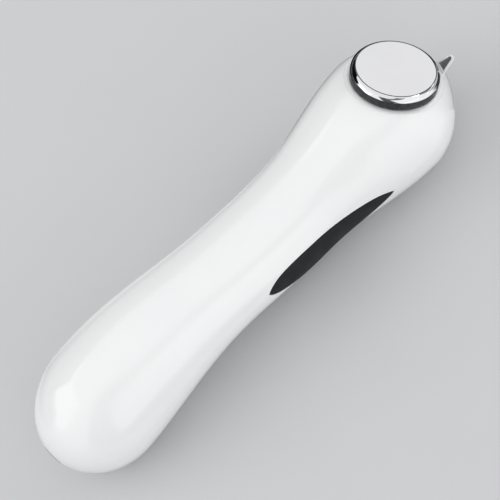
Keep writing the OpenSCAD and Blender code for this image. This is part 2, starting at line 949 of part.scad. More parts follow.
module battery_tray() {
    w = cell_dia / 2 + fit + tray_margin;
    color("ivory")
        difference() {
            union() {
                translate([cell_x - fit - tray_margin, -w, tray_bottom])
                    cube([cell_length + 2 * (fit + tray_margin), 2 * w, cell_z - tray_bottom - 1]);
                for (s = [-1, 1])
                    ear(tray_x, s * tray_y, tray_bottom, tray_ear);
            }
            translate([cell_x - fit, 0, cell_z])
                rotate([0, 90, 0])
                    cylinder(h = cell_length + 2 * fit, d = cell_dia + 2 * fit);
            for (s = [-1, 1])
                translate([tray_x, s * tray_y, tray_bottom - 1])
                    cylinder(h = tray_ear + 2, d = small_screw_dia + fit);
        }
}

// Screw ear, a round tab with a straight web toward the middle of the body
module ear(x, y, z, thick) {
    r = small_boss_dia / 2 + 0.4;
    web = small_boss_dia / 2 + 1;
    translate([x, y, z]) {
        cylinder(h = thick, r = r);
        translate([-r, y > 0 ? -web : 0, 0])
            cube([2 * r, web, thick]);
    }
}

module tray_screws() {
    color("silver")
        for (s = [-1, 1])
            translate([tray_x, s * tray_y, tray_bottom + tray_ear + solder])
                small_screw(4 + tray_ear);
}

function foam_top() = cell_z + cell_dia / 2 + foam_thick;

module cell_foam() {
    color("dimgray")
        difference() {
            translate([cell_x + 5, -5, cell_z + cell_dia / 2 - 1.5])
                cube([cell_length - 10, 10, foam_thick + 1.5]);
            translate([cell_x, 0, cell_z])
                rotate([0, 90, 0])
                    cylinder(h = cell_length, d = cell_dia + 2 * solder);
        }
}

// Vibration motor

module vibration_motor() {
    color("silver")
        translate([motor_x, 0, motor_z])
            rotate([0, 90, 0])
                difference() {
                    union() {
                        cylinder(h = motor_length, d = motor_dia);
                        translate([0, 0, motor_length - eps])
                            cylinder(h = 0.8, d = 4);
                    }
                    translate([0, 0, 3])
                        cylinder(h = motor_length, d = shaft_dia + 0.1);
                }
}

module motor_shaft() {
    color("silver")
        translate([motor_x + 3.2, 0, motor_z])
            rotate([0, 90, 0])
                cylinder(h = motor_length - 3.2 + 1.2 + weight_length, d = shaft_dia);
}

// Half-round weight, which hangs down at rest
module eccentric_weight() {
    color("darkgray")
        translate([motor_x + motor_length + 1.2, 0, motor_z])
            rotate([0, 90, 0])
                difference() {
                    union() {
                        cylinder(h = weight_length, d = shaft_dia + 2);
                        intersection() {
                            cylinder(h = weight_length, r = weight_radius);
                            translate([0, -weight_radius - 1, -1])
                                cube([weight_radius + 1, 2 * weight_radius + 2, weight_length + 2]);
                        }
                    }
                    translate([0, 0, -1])
                        cylinder(h = weight_length + 2, d = shaft_dia);
                }
}

module motor_damper() {
    color("black")
        translate([motor_x + 1, 0, motor_z])
            rotate([0, 90, 0])
                difference() {
                    cylinder(h = motor_length - 2, d = motor_dia + 2 * damper_thick);
                    translate([0, 0, -1])
                        cylinder(h = motor_length, d = motor_dia + 2 * solder);
                }
}

// Block with ears that carries the motor, and the strap that closes over it
module motor_block(up) {
    w = cradle_radius + cradle_wall;
    base = up ? motor_z + solder : cradle_bottom;
    difference() {
        union() {
            translate([cradle_x - cradle_length / 2, -w, base])
                cube([cradle_length, 2 * w, w - solder]);
            for (s = [-1, 1])
                ear(cradle_x, s * cradle_y, up ? base : motor_z - ear_thick, ear_thick - solder);
        }
        translate([cradle_x - cradle_length, 0, motor_z])
            rotate([0, 90, 0])
                cylinder(h = 2 * cradle_length, r = cradle_radius);
        for (s = [-1, 1])
            translate([cradle_x, s * cradle_y, motor_z - 5])
                cylinder(h = 10, d = small_screw_dia + fit);
    }
}

module motor_cradle() {
    color("ivory")
        motor_block(false);
}

module motor_clamp() {
    color("ivory")
        motor_block(true);
}

module motor_screws() {
    color("silver")
        for (s = [-1, 1])
            translate([cradle_x, s * cradle_y, motor_z + ear_thick + 2 * solder])
                small_screw(4 + 2 * ear_thick);
}

// Screws

// Small screw with its head above Z = 0 and its shank going down
module small_screw(length) {
    cylinder(h = small_head_height, d = small_screw_head);
    translate([0, 0, -length])
        cylinder(h = length + eps, d = small_screw_dia - 0.1);
}

module housing_screws() {
    color("silver")
        for (p = housing_screws_at)
            translate([p[0], p[1], screw_seat(p[0]) - screw_head_height - solder]) {
                difference() {
                    cylinder(h = screw_head_height, d = screw_head);
                    translate([0, 0, -1])
                        cylinder(h = 1 + screw_head_height * 0.6, d = screw_head * 0.48, $fn = 6);
                }
                translate([0, 0, screw_head_height - 0.5])
                    cylinder(h = 0.5 + screw_length, d = screw_dia - 0.1);
            }
}

module screw_caps() {
    color("white")
        intersection() {
            for (p = housing_screws_at)
                translate([p[0], p[1], screw_seat(p[0]) - screw_head_height - 2 * solder - post_reach])
                    cylinder(h = post_reach, d = screw_head + fit);
            body_volume(0.1, 20, 10);
        }
}

// Inner wires, routed by hand in body coordinates, with ends square to what they meet

tail_pin = connectors_at[0] - lead_gap;
head_pin = connectors_at[1] + connector_size[0] + lead_gap;
cell_end = cell_stop + lead_gap;
jack_end = inner_end() + fit + jack_size[0] + lead_gap;
tray_tail = cell_x - fit - tray_margin;

plus_route = [
    [cell_end, 0, cell_z + 0.1], [cell_end + 1.6, -0.1, cell_z + 0.2], [cell_end + 3.2, -0.8, -1.4],
    [tail_pin - 1.4, pins_at[1], pin_z], [tail_pin, pins_at[1], pin_z]
];
minus_route = [
    [cell_x - lead_gap, 0, cell_z + 0.1], [cell_x - 0.9, 0, cell_z + 0.1], [cell_x - 1.8, 0.5, 0.8],
    [cell_x - 2.8, 3, 2.6], [cell_x - 1.2, 6.2, 4.9], [cell_x + 3, 6.4, 5],
    [cell_x + cell_length / 2, 6.4, 5], [cell_stop - 4, 6.4, 5], [cell_stop + 1, 5.9, 4.5],
    [cell_stop + 3.4, 2.6, -1.2],
    [tail_pin - 1.4, pins_at[2], pin_z], [tail_pin, pins_at[2], pin_z]
];
charge_route = [
    [jack_end, 2, socket_z], [jack_end + 2, 2.4, socket_z], [mix(jack_end, tray_tail, 0.5), 6.2, -0.6],
    [cell_x - 3, 8.6, 1.8], [cell_x + cell_length / 2, 8.6, 1.8], [cell_stop - 3, 8.6, 1.8],
    [cell_stop + 1.8, 7.8, 1], [cell_stop + 3.6, 5.8, -2.2],
    [tail_pin - 1.4, pins_at[3], pin_z], [tail_pin, pins_at[3], pin_z]
];
motor_route = [
    [head_pin, pins_at[0], pin_z], [head_pin + 1.5, pins_at[0], pin_z], [motor_x - 2, -3.2, -6.4],
    [motor_x - 1.6, -2.5, -8.7], [motor_x - 1, -2.4, motor_z], [motor_x - lead_gap, -2.4, motor_z]
];
heater_route = [
    [head_pin, pins_at[3], pin_z], [head_pin + 2, 3.4, pin_z + 0.6], [motor_x, 3, -0.2],
    [motor_x + 6, 2.8, 2.4],
    [motor_x + 14, 2.6, 3.4], [facet_x - 5.6, 2.6, 5], facet_point(0, 2.6, -5), facet_point(0, 2.6, -2),
    facet_point(0, 2.6, plate_rise - plate_metal - 1.2 - lead_gap)
];
grip_route = [
    [stud_x, side_y(stud_x, stud_z(), wall + 1) - lead_gap, stud_z()],
    [stud_x, side_y(stud_x, stud_z(), wall + 1) - 1, stud_z() + 0.1], [stud_x - 0.6, 12, -3.9],
    [stud_x - 1.4, 10.4, -3.9], [stud_x - 1.6, 10, board_top + 1.2], [stud_x - 1.6, 10, board_top + lead_gap]
];

// Point of the facet's own frame, in body coordinates
function facet_point(x, y, h) = [
    facet_x + x * cos(plate_tilt) + h * sin(plate_tilt),
    y,
    facet_z - x * sin(plate_tilt) + h * cos(plate_tilt)
];

// The same route on the other side of the body
function mirrored(path) = [for (p = path) [p[0], -p[1], p[2]]];

module battery_leads() {
    color("red") {
        wire(smooth(plus_route), lead_dia);
        wire(smooth(minus_route), lead_dia);
    }
}

module charge_leads() {
    color("black") {
        wire(smooth(charge_route), lead_dia);
        wire(smooth(mirrored(charge_route)), lead_dia);
    }
}

module motor_leads() {
    color("blue") {
        wire(smooth(motor_route), lead_dia);
        wire(smooth(mirrored(motor_route_inner())), lead_dia);
    }
}

// The motor's second wire starts at the next pin and ends beside the first
function motor_route_inner() = [
    [head_pin, -pins_at[1], pin_z], [head_pin + 1.5, -pins_at[1], pin_z], [motor_x - 2, 0.2, -6.4],
    [motor_x - 1.6, -2.3, -8.7], [motor_x - 1, -2.4, motor_z], [motor_x - lead_gap, -2.4, motor_z]
];

module plate_leads() {
    color("yellow") {
        wire(smooth(heater_route), lead_dia);
        wire(smooth(plate_route()), lead_dia);
    }
}

// The plate's second wire starts at the inner pin and runs on the other side
function plate_route() = concat(
    [
        [head_pin, pins_at[2], pin_z], [head_pin + 2, 1, pin_z + 0.6], [motor_x, 0, -0.2],
        [motor_x + 6, -1.6, 2.4]
    ],
    [for (i = [4 : len(heater_route) - 1]) [heater_route[i][0], -heater_route[i][1], heater_route[i][2]]]
);

module grip_leads() {
    color("green") {
        wire(smooth(grip_route), lead_dia);
        wire(smooth(mirrored(grip_route)), lead_dia);
    }
}

// Moves the drawing from body coordinates to the part's own frame
module seat() {
    translate([-origin_x, 0, rest_height])
        children();
}

seat() front_shell();
seat() rear_shell();
seat() left_grip_inlay();
seat() right_grip_inlay();
seat() treatment_plate();
seat() plate_gasket();
seat() plate_carrier();
seat() plate_screws();
seat() heater_pad();
seat() thermistor();
seat() cotton_ring();
seat() control_panel();
seat() power_button();
seat() mode_button();
seat() power_plunger();
seat() mode_plunger();
seat() switch_bodies();
seat() light_pipes();
seat() indicator_leds();
seat() main_board();
seat() board_screws();
seat() controller_chip();
seat() charger_chip();
seat() boost_coil();
seat() capacitors();
seat() buzzer();
seat() wire_connectors();
seat() charging_jack();
seat() jack_bezel();
seat() battery_cell();
seat() battery_tray();
seat() tray_screws();
seat() cell_foam();
seat() vibration_motor();
seat() motor_shaft();
seat() eccentric_weight();
seat() motor_damper();
seat() motor_cradle();
seat() motor_clamp();
seat() motor_screws();
seat() battery_leads();
seat() charge_leads();
seat() motor_leads();
seat() plate_leads();
seat() grip_leads();
seat() housing_screws();
seat() screw_caps();
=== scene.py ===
"""Looks of a waisted two-bulb facial massager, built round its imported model.

Sizes are millimetres in body coordinates: X from the tail end to the nose, Z up from the axis of
the body, the treatment plate in front (+Z) and the buttons on the back (-Z). Each mesh is moved to
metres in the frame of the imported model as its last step.
"""

import logging
import math
from dataclasses import dataclass
from enum import Enum
from functools import cache

import bmesh
import bpy
import numpy as np
from mathutils import Matrix, Vector


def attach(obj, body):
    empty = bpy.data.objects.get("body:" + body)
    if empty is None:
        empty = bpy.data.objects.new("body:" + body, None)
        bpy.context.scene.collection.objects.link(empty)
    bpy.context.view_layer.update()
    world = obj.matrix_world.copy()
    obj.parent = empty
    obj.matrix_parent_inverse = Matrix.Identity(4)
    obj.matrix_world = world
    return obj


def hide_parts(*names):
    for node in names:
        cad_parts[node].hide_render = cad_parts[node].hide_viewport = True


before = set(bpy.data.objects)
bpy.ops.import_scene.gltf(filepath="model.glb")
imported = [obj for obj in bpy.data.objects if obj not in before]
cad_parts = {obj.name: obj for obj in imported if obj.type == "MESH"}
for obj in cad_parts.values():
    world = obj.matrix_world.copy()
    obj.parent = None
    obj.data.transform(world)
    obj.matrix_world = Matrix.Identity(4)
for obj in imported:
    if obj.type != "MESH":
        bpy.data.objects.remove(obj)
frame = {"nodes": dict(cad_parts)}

log = logging.getLogger("massager")

Colour = tuple[float, float, float]
Point = tuple[float, float, float]
Profile = list[tuple[float, float]]
Values = float | np.ndarray
Socket = bpy.types.NodeSocket

MM_PER_M = 1000.0


class Side(Enum):
    """Which side of the body a piece lies on, as the sign of Y or Z."""

    LEFT = 1
    RIGHT = -1
    FRONT = 2
    BACK = -2

    @property
    def sign(self) -> int:
        """1 for left and front, -1 for right and back."""
        return 1 if self.value > 0 else -1


# Curves and surfaces


def mix(a: Values, b: Values, t: Values) -> np.ndarray:
    """The value at t on the straight line from a to b."""
    return a + (b - a) * t


def ease(t: np.ndarray) -> np.ndarray:
    """Half a cosine wave from 0 to 1, level at both ends."""
    return 0.5 - 0.5 * np.cos(np.pi * np.clip(t, 0.0, 1.0))


def soft_below(h: np.ndarray, k: float) -> np.ndarray:
    """h where it is well below 0, and 0 where it is well above, with an edge rounded over about k.

    Args:
        h: Heights over the limit.
        k: Width of the rounding.

    Returns:
        The limited heights, minus k times the softplus of minus h over k.
    """
    return -k * np.logaddexp(0.0, -h / k)


def cosine_steps(low: float, high: float, count: int) -> np.ndarray:
    """count + 1 values from low to high that lie closer together near both ends."""
    return mix(low, high, ease(np.linspace(0.0, 1.0, count + 1)))


def arc(centre: tuple[float, float], radius: float, start: float, end: float, steps: int) -> Profile:
    """Points of a circular arc in the plane of a profile.

    Args:
        centre: Middle of the circle, as radius and height.
        radius: Radius of the arc.
        start: First angle in degrees, from the outward direction.
        end: Last angle in degrees.
        steps: Number of steps between them.

    Returns:
        steps + 1 points: centre plus radius times (cosine, sine) of the angle.
    """
    a = np.radians(np.linspace(start, end, steps + 1))
    return list(zip(centre[0] + radius * np.cos(a), centre[1] + radius * np.sin(a)))


def round_turn(count: int) -> np.ndarray:
    """count angles in radians round a full turn."""
    return np.linspace(0.0, 2 * np.pi, count, endpoint=False)


def edge_to_edge(count: int) -> np.ndarray:
    """A row of count + 1 values from -1 to 1 that lie closer together near both ends."""
    return -np.cos(np.linspace(0.0, np.pi, count + 1))[None, :]


@dataclass(frozen=True)
class BodyForm:
    """The waisted body: a curved spine with an elliptical section at each station."""

    length: float = 190.8
    tail_width: float = 46.0
    tail_depth: float = 44.6
    waist_width: float = 37.1
    waist_depth: float = 31.8
    head_width: float = 49.0
    head_depth: float = 44.6
    tail_x: float = 26.4
    waist_start: float = 89.8
    waist_end: float = 118.8
    head_x: float = 165.4
    nose_power: float = 0.75
    wall: float = 2.2
    rest_height: float = 22.2
    socket_z: float = -3.1
    neck_diameter: float = 27.0
    screw_stations: tuple[float, float] = (32.0, 149.0)
    screw_y: float = 13.5
    screw_depth: float = 6.0
    spine_stations: tuple[float, ...] = (0.0, 0.317, 0.6, 0.887, 1.0)
    spine_heights: tuple[float, ...] = (-3.1, 2.8, -1.8, -0.2, -2.3)

    def spine(self, x: Values) -> np.ndarray:
        """Height of the spine at station x, eased from key to key."""
        keys, heights = np.array(self.spine_stations), np.array(self.spine_heights)
        t = np.asarray(x, float) / self.length
        i = np.clip(np.searchsorted(keys, t, side="right") - 1, 0, len(keys) - 2)
        return mix(heights[i], heights[i + 1], ease((t - keys[i]) / (keys[i + 1] - keys[i])))

    @property
    def screws(self) -> list[tuple[float, float]]:
        """Places of the four housing screws, as X and Y."""
        return [(x, s * self.screw_y) for x in self.screw_stations for s in (-1, 1)]

    def half_size(self, x: Values, tail: float, waist: float, head: float, inset: float) -> np.ndarray:
        """Half a size of the section at station x, for a body moved in by inset.

        The tail bulb is a quarter ellipse, the waist lies between two half cosine waves, and the
        nose follows one minus the square of the distance from the head, to the power nose_power.

        Args:
            x: Stations along the body.
            tail: Full size at the tail bulb.
            waist: Full size at the waist.
            head: Full size at the head.
            inset: How far the surface is moved in.

        Returns:
            The half sizes.
        """
        x = np.asarray(x, float)
        behind = (self.tail_x - x) / (self.tail_x - inset)
        dome = (tail / 2 - inset) * np.sqrt(np.clip(1 - behind**2, 0, None))
        narrowing = mix(tail, waist, ease((x - self.tail_x) / (self.waist_start - self.tail_x))) / 2 - inset
        widening = mix(waist, head, ease((x - self.waist_end) / (self.head_x - self.waist_end))) / 2 - inset
        u = (x - self.head_x) / (self.length - self.head_x - inset)
        nose = (head / 2 - inset) * np.clip(1 - u**2, 0, None) ** self.nose_power
        parts = [x < self.tail_x, x < self.waist_end, x < self.head_x]
        return np.select(parts, [dome, narrowing, widening], nose)

    def half_width(self, x: Values, inset: float = 0.0) -> np.ndarray:
        """Half the width of the section at station x."""
        return self.half_size(x, self.tail_width, self.waist_width, self.head_width, inset)

    def half_depth(self, x: Values, inset: float = 0.0) -> np.ndarray:
        """Half the depth of the section at station x."""
        return self.half_size(x, self.tail_depth, self.waist_depth, self.head_depth, inset)

    def skin(self, x: np.ndarray, angle: np.ndarray, inset: float = 0.0) -> np.ndarray:
        """Points of the surface: the ellipse of station x at an angle in radians from the +Y side.

        Args:
            x: Stations, in any shape that broadcasts with angle.
            angle: Angles round the section.
            inset: How far the surface is moved in.

        Returns:
            Points in the last axis.
        """
        x, angle = np.broadcast_arrays(x, angle)
        y = self.half_width(x, inset) * np.cos(angle)
        z = self.spine(x) + self.half_depth(x, inset) * np.sin(angle)
        return np.stack([x, y, z], axis=-1)

    def wall_height(self, x: np.ndarray, y: np.ndarray, side: Side, inset: float = 0.0) -> np.ndarray:
        """Height of the front or back surface over the point x, y."""
        share = np.sqrt(np.clip(1 - (y / self.half_width(x, inset)) ** 2, 0, None))
        return self.spine(x) + side.sign * self.half_depth(x, inset) * share

    def side_reach(self, x: np.ndarray, z: np.ndarray, inset: Values = 0.0) -> np.ndarray:
        """Distance of the side surface from the middle plane at the point x, z."""
        depth = self.half_depth(x, 0.0) - inset
        share = np.sqrt(np.clip(1 - ((z - self.spine(x)) / depth) ** 2, 0, None))
        return (self.half_width(x, 0.0) - inset) * share


@dataclass(frozen=True)
class Facet:
    """The flat place on the head that carries the plate, with an axis of its own."""

    x: float = 174.6
    z: float = 12.6
    tilt: float = 35.4

    @property
    def normal(self) -> np.ndarray:
        """Unit vector out of the facet."""
        a = math.radians(self.tilt)
        return np.array([math.sin(a), 0.0, math.cos(a)])

    @property
    def toward_nose(self) -> np.ndarray:
        """Unit vector in the facet toward the nose."""
        a = math.radians(self.tilt)
        return np.array([math.cos(a), 0.0, -math.sin(a)])

    def place(self, points: np.ndarray) -> np.ndarray:
        """Moves points from the facet's own frame to body coordinates.

        Args:
            points: Points with X toward the nose and Z along the normal.

        Returns:
            The same points in body coordinates.
        """
        across = np.array([0.0, 1.0, 0.0])
        basis = np.stack([self.toward_nose, across, self.normal])
        return np.array([self.x, 0.0, self.z]) + points @ basis

    def carry(self, sheet: "Sheet") -> "Sheet":
        """The sheet, moved from the facet's own frame to body coordinates."""
        sheet.points = self.place(sheet.points)
        return sheet

    def height(self, points: np.ndarray) -> np.ndarray:
        """Height of points over the facet."""
        return (points - np.array([self.x, 0.0, self.z])) @ self.normal

    def flatten(self, points: np.ndarray, level: float, rounding: float) -> np.ndarray:
        """Lays points that stand above a level of the facet onto it, with a rounded edge.

        Args:
            points: Points in body coordinates.
            level: Height of the limit over the facet.
            rounding: Width of the rounded edge.

        Returns:
            The points, moved along the normal only.
        """
        h = self.height(points) - level
        return points + (soft_below(h, rounding) - h)[..., None] * self.normal


@dataclass
class Sheet:
    """A grid of points, whose rows or columns may close on themselves.

    Rows or columns that fall together in one point are merged, so a pole closes by itself.
    """

    points: np.ndarray
    wrap_rows: bool = False
    wrap_columns: bool = True
    capped: bool = False

    def faces(self) -> list[np.ndarray]:
        """Corner numbers of the faces.

        Returns:
            The quads as one array, and after it the two end caps where the sheet is capped.
        """
        rows, columns = self.points.shape[:2]
        i = np.arange(rows if self.wrap_rows else rows - 1)[:, None]
        j = np.arange(columns if self.wrap_columns else columns - 1)[None, :]
        ahead, beside = (i + 1) % rows, (j + 1) % columns
        here, there = i * columns, ahead * columns
        quads = np.stack([here + j, here + beside, there + beside, there + j], axis=-1)
        if not self.capped:
            return [quads.reshape(-1, 4)]
        return [quads.reshape(-1, 4), np.arange(columns)[::-1], (rows - 1) * columns + np.arange(columns)]

    def volume(self) -> float:
        """Signed volume inside the sheet, by tetrahedra from the middle of its points."""
        flat = self.points.reshape(-1, 3)
        flat = flat - flat.mean(axis=0)
        total = 0.0
        quads, *ends = self.faces()
        corners = flat[quads]
        for a, b, c in ((0, 1, 2), (0, 2, 3)):
            total += np.einsum("ij,ij->", corners[:, a], np.cross(corners[:, b], corners[:, c])) / 6
        for end in ends:
            first = np.broadcast_to(flat[end[0]], (len(end) - 2, 3))
            total += np.einsum("ij,ij->", first, np.cross(flat[end[1:-1]], flat[end[2:]])) / 6
        return total


def lathe(profile: Profile, turns: int, closed: bool = False) -> Sheet:
    """A profile carried round the Z axis.

    Args:
        profile: Points as radius and height. A radius of 0 closes the piece at a pole.
        turns: Steps round the axis.
        closed: Whether the profile closes on itself, as for a ring.

    Returns:
        The sheet: radius times cosine and sine of the turn, and the height.
    """
    r, h = np.array(profile, float).T[..., None]
    a = round_turn(turns)
    return Sheet(np.stack([r * np.cos(a), r * np.sin(a), np.repeat(h, turns, 1)], axis=-1), wrap_rows=closed)


def plain_bar(radius: float, low: float, high: float, turns: int) -> Sheet:
    """A round bar with square edges, between two heights on the Z axis."""
    return lathe([(0.0, low), (radius, low), (radius, high), (0.0, high)], turns)


def upright(sheet: Sheet, at: Point) -> Sheet:
    """The sheet with its own axis upright through a point."""
    sheet.points = sheet.points + np.array(at)
    return sheet


def lengthwise(sheet: Sheet, at: Point) -> Sheet:
    """The sheet with its own Z axis turned to +X, from a point."""
    sheet.points = sheet.points[..., [2, 1, 0]] * np.array([1.0, 1.0, -1.0]) + np.array(at)
    return sheet


def sideways(sheet: Sheet, at: Point, side: Side) -> Sheet:
    """The sheet with its own Z axis turned out to one side, from a point."""
    sheet.points = sheet.points[..., [0, 2, 1]] * np.array([1.0, side.sign, side.sign]) + np.array(at)
    return sheet


def rounded_bar(radius: float, low: float, high: float, edge: float) -> Profile:
    """Profile of a round bar with rounded edges.

    Args:
        radius: Radius of the bar.
        low: Height of its lower end.
        high: Height of its upper end.
        edge: Radius of both edges.

    Returns:
        The profile, from the lower pole to the upper one.
    """
    return [
        (0.0, low),
        *arc((radius - edge, low + edge), edge, -90, 0, 6),
        *arc((radius - edge, high - edge), edge, 0, 90, 6),
        (0.0, high),
    ]


def rounded_ring(inner: float, outer: float, low: float, high: float, edge: float) -> Profile:
    """Profile of a square ring with four rounded edges, closed on itself."""
    return [
        *arc((outer - edge, low + edge), edge, -90, 0, 5),
        *arc((outer - edge, high - edge), edge, 0, 90, 5),
        *arc((inner + edge, high - edge), edge, 90, 180, 5),
        *arc((inner + edge, low + edge), edge, 180, 270, 5),
    ]


# Meshes


def add_object(name: str, data: bpy.types.ID) -> bpy.types.Object:
    """A new object of the scene."""
    thing = bpy.data.objects.new(name, data)
    bpy.context.scene.collection.objects.link(thing)
    return thing


ORIGIN = np.array([97.8836, 0.0, -BodyForm.rest_height])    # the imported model's origin, in body coordinates
MERGE_DISTANCE = 1e-7    # metres


def mesh_of(name: str, sheets: list[Sheet]) -> bpy.types.Mesh:
    """One mesh of closed sheets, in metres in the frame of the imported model.

    Args:
        name: Name of the mesh.
        sheets: The sheets, each closed and turned so that it faces outward.

    Returns:
        The mesh, with points that fall together merged.
    """
    mesh = bpy.data.meshes.new(name)
    corners, starts, base, loops = [], [], 0, 0
    for sheet in sheets:
        outward = sheet.volume() >= 0
        for face in sheet.faces():
            grid = face if face.ndim == 2 else face[None, :]
            grid = (grid if outward else grid[:, ::-1]) + base
            corners.append(grid.ravel())
            starts.append(loops + np.arange(len(grid)) * grid.shape[1])
            loops += grid.size
        base += sheet.points.shape[0] * sheet.points.shape[1]
    points = np.concatenate([s.points.reshape(-1, 3) for s in sheets])
    mesh.vertices.add(len(points))
    mesh.vertices.foreach_set("co", ((points - ORIGIN) / MM_PER_M).astype(np.float32).ravel())
    mesh.loops.add(loops)
    mesh.loops.foreach_set("vertex_index", np.concatenate(corners).astype(np.int32))
    starts = np.concatenate(starts)
    mesh.polygons.add(len(starts))
    mesh.polygons.foreach_set("loop_start", starts.astype(np.int32))
    mesh.update(calc_edges=True)
    merged = bmesh.new()
    merged.from_mesh(mesh)
    bmesh.ops.remove_doubles(merged, verts=merged.verts, dist=MERGE_DISTANCE)
    bmesh.ops.dissolve_degenerate(merged, edges=merged.edges, dist=MERGE_DISTANCE / 10)
    merged.to_mesh(mesh)
    merged.free()
    return mesh


def carve(mesh: bpy.types.Mesh, cutters: list[Sheet], union: bool = False) -> bpy.types.Mesh:
    """Cuts closed sheets out of a mesh, or joins them to it.

    Args:
        mesh: The closed mesh to change.
        cutters: The closed sheets, used one after the other.
        union: Whether the sheets are joined instead of cut out.

    Returns:
        A new mesh with the result.
    """
    holder = add_object("carving", mesh)
    tools = []
    for number, cutter in enumerate(cutters):
        tool = add_object(f"cutter_{number}", mesh_of(f"cutter_{number}", [cutter]))
        step = holder.modifiers.new(tool.name, "BOOLEAN")
        step.operation = "UNION" if union else "DIFFERENCE"
        step.solver = "EXACT"
        step.object = tool
        tools.append(tool)
    graph = bpy.context.evaluated_depsgraph_get()
    result = bpy.data.meshes.new_from_object(holder.evaluated_get(graph), depsgraph=graph)
    for thing in (holder, *tools):
        old = thing.data
        bpy.data.objects.remove(thing)
        bpy.data.meshes.remove(old)
    return result


def join(mesh: bpy.types.Mesh, sheets: list[Sheet]) -> None:
    """Adds closed sheets to a mesh as they are.

    Args:
        mesh: The mesh to add to.
        sheets: The sheets, which may overlap it.
    """
    extra = mesh_of("extra", sheets)
    joined = bmesh.new()
    joined.from_mesh(mesh)
    joined.from_mesh(extra)
    joined.to_mesh(mesh)
    joined.free()
    bpy.data.meshes.remove(extra)


def face_centres(mesh: bpy.types.Mesh) -> np.ndarray:
    """Middles of the mesh's faces, in body coordinates."""
    centres = np.empty(len(mesh.polygons) * 3)
    mesh.polygons.foreach_get("center", centres)
    return centres.reshape(-1, 3) * MM_PER_M + ORIGIN


def mark_faces(mesh: bpy.types.Mesh, *choices: np.ndarray) -> None:
    """Gives faces the number of the first choice that holds for them, from 1, or 0 for none."""
    marks = np.select(choices, list(range(1, len(choices) + 1)), 0)
    mesh.polygons.foreach_set("material_index", marks.astype(np.int32))


@cache
def material_of(finish: "Finish") -> bpy.types.Material:
    """The material of a finish, made once."""
    return finish.material()


def finish_piece(
    name: str,
    mesh: bpy.types.Mesh,
    finishes: list["Finish"],
    slot: str,
    *nodes: str,
    body: str = "housing",
    sharp: float = 35.0,
) -> None:
    """Makes a piece of a mesh: smooth shading, its finish, its body and the nodes it stands for.

    Args:
        name: Name of the piece.
        mesh: Its mesh.
        finishes: Its finishes, in the order of the mesh's material numbers.
        slot: The record's material slot; not used.
        nodes: Names of the nodes that it replaces.
        body: Name of the body that it rides on.
        sharp: Angle in degrees past which an edge stays sharp.
    """
    mesh.name = name
    marks = np.empty(len(mesh.polygons), dtype=np.int32)
    mesh.polygons.foreach_get("material_index", marks)
    mesh.materials.clear()
    for finish in finishes:
        mesh.materials.append(material_of(finish))
    mesh.polygons.foreach_set("material_index", np.minimum(marks, len(finishes) - 1))
    mesh.shade_smooth()
    mesh.set_sharp_from_angle(angle=math.radians(sharp))
    piece = add_object(name, mesh)
    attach(piece, body)
    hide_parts(*nodes)
    log.info("%s: %d faces on %s", name, len(mesh.polygons), body)


# Finishes


def set_inputs(node: bpy.types.Node, **values: float | tuple) -> None:
    """Sets plain values on a node's inputs, with _ for each space in a name."""
    for name, value in values.items():
        node.inputs[name.replace("_", " ")].default_value = value


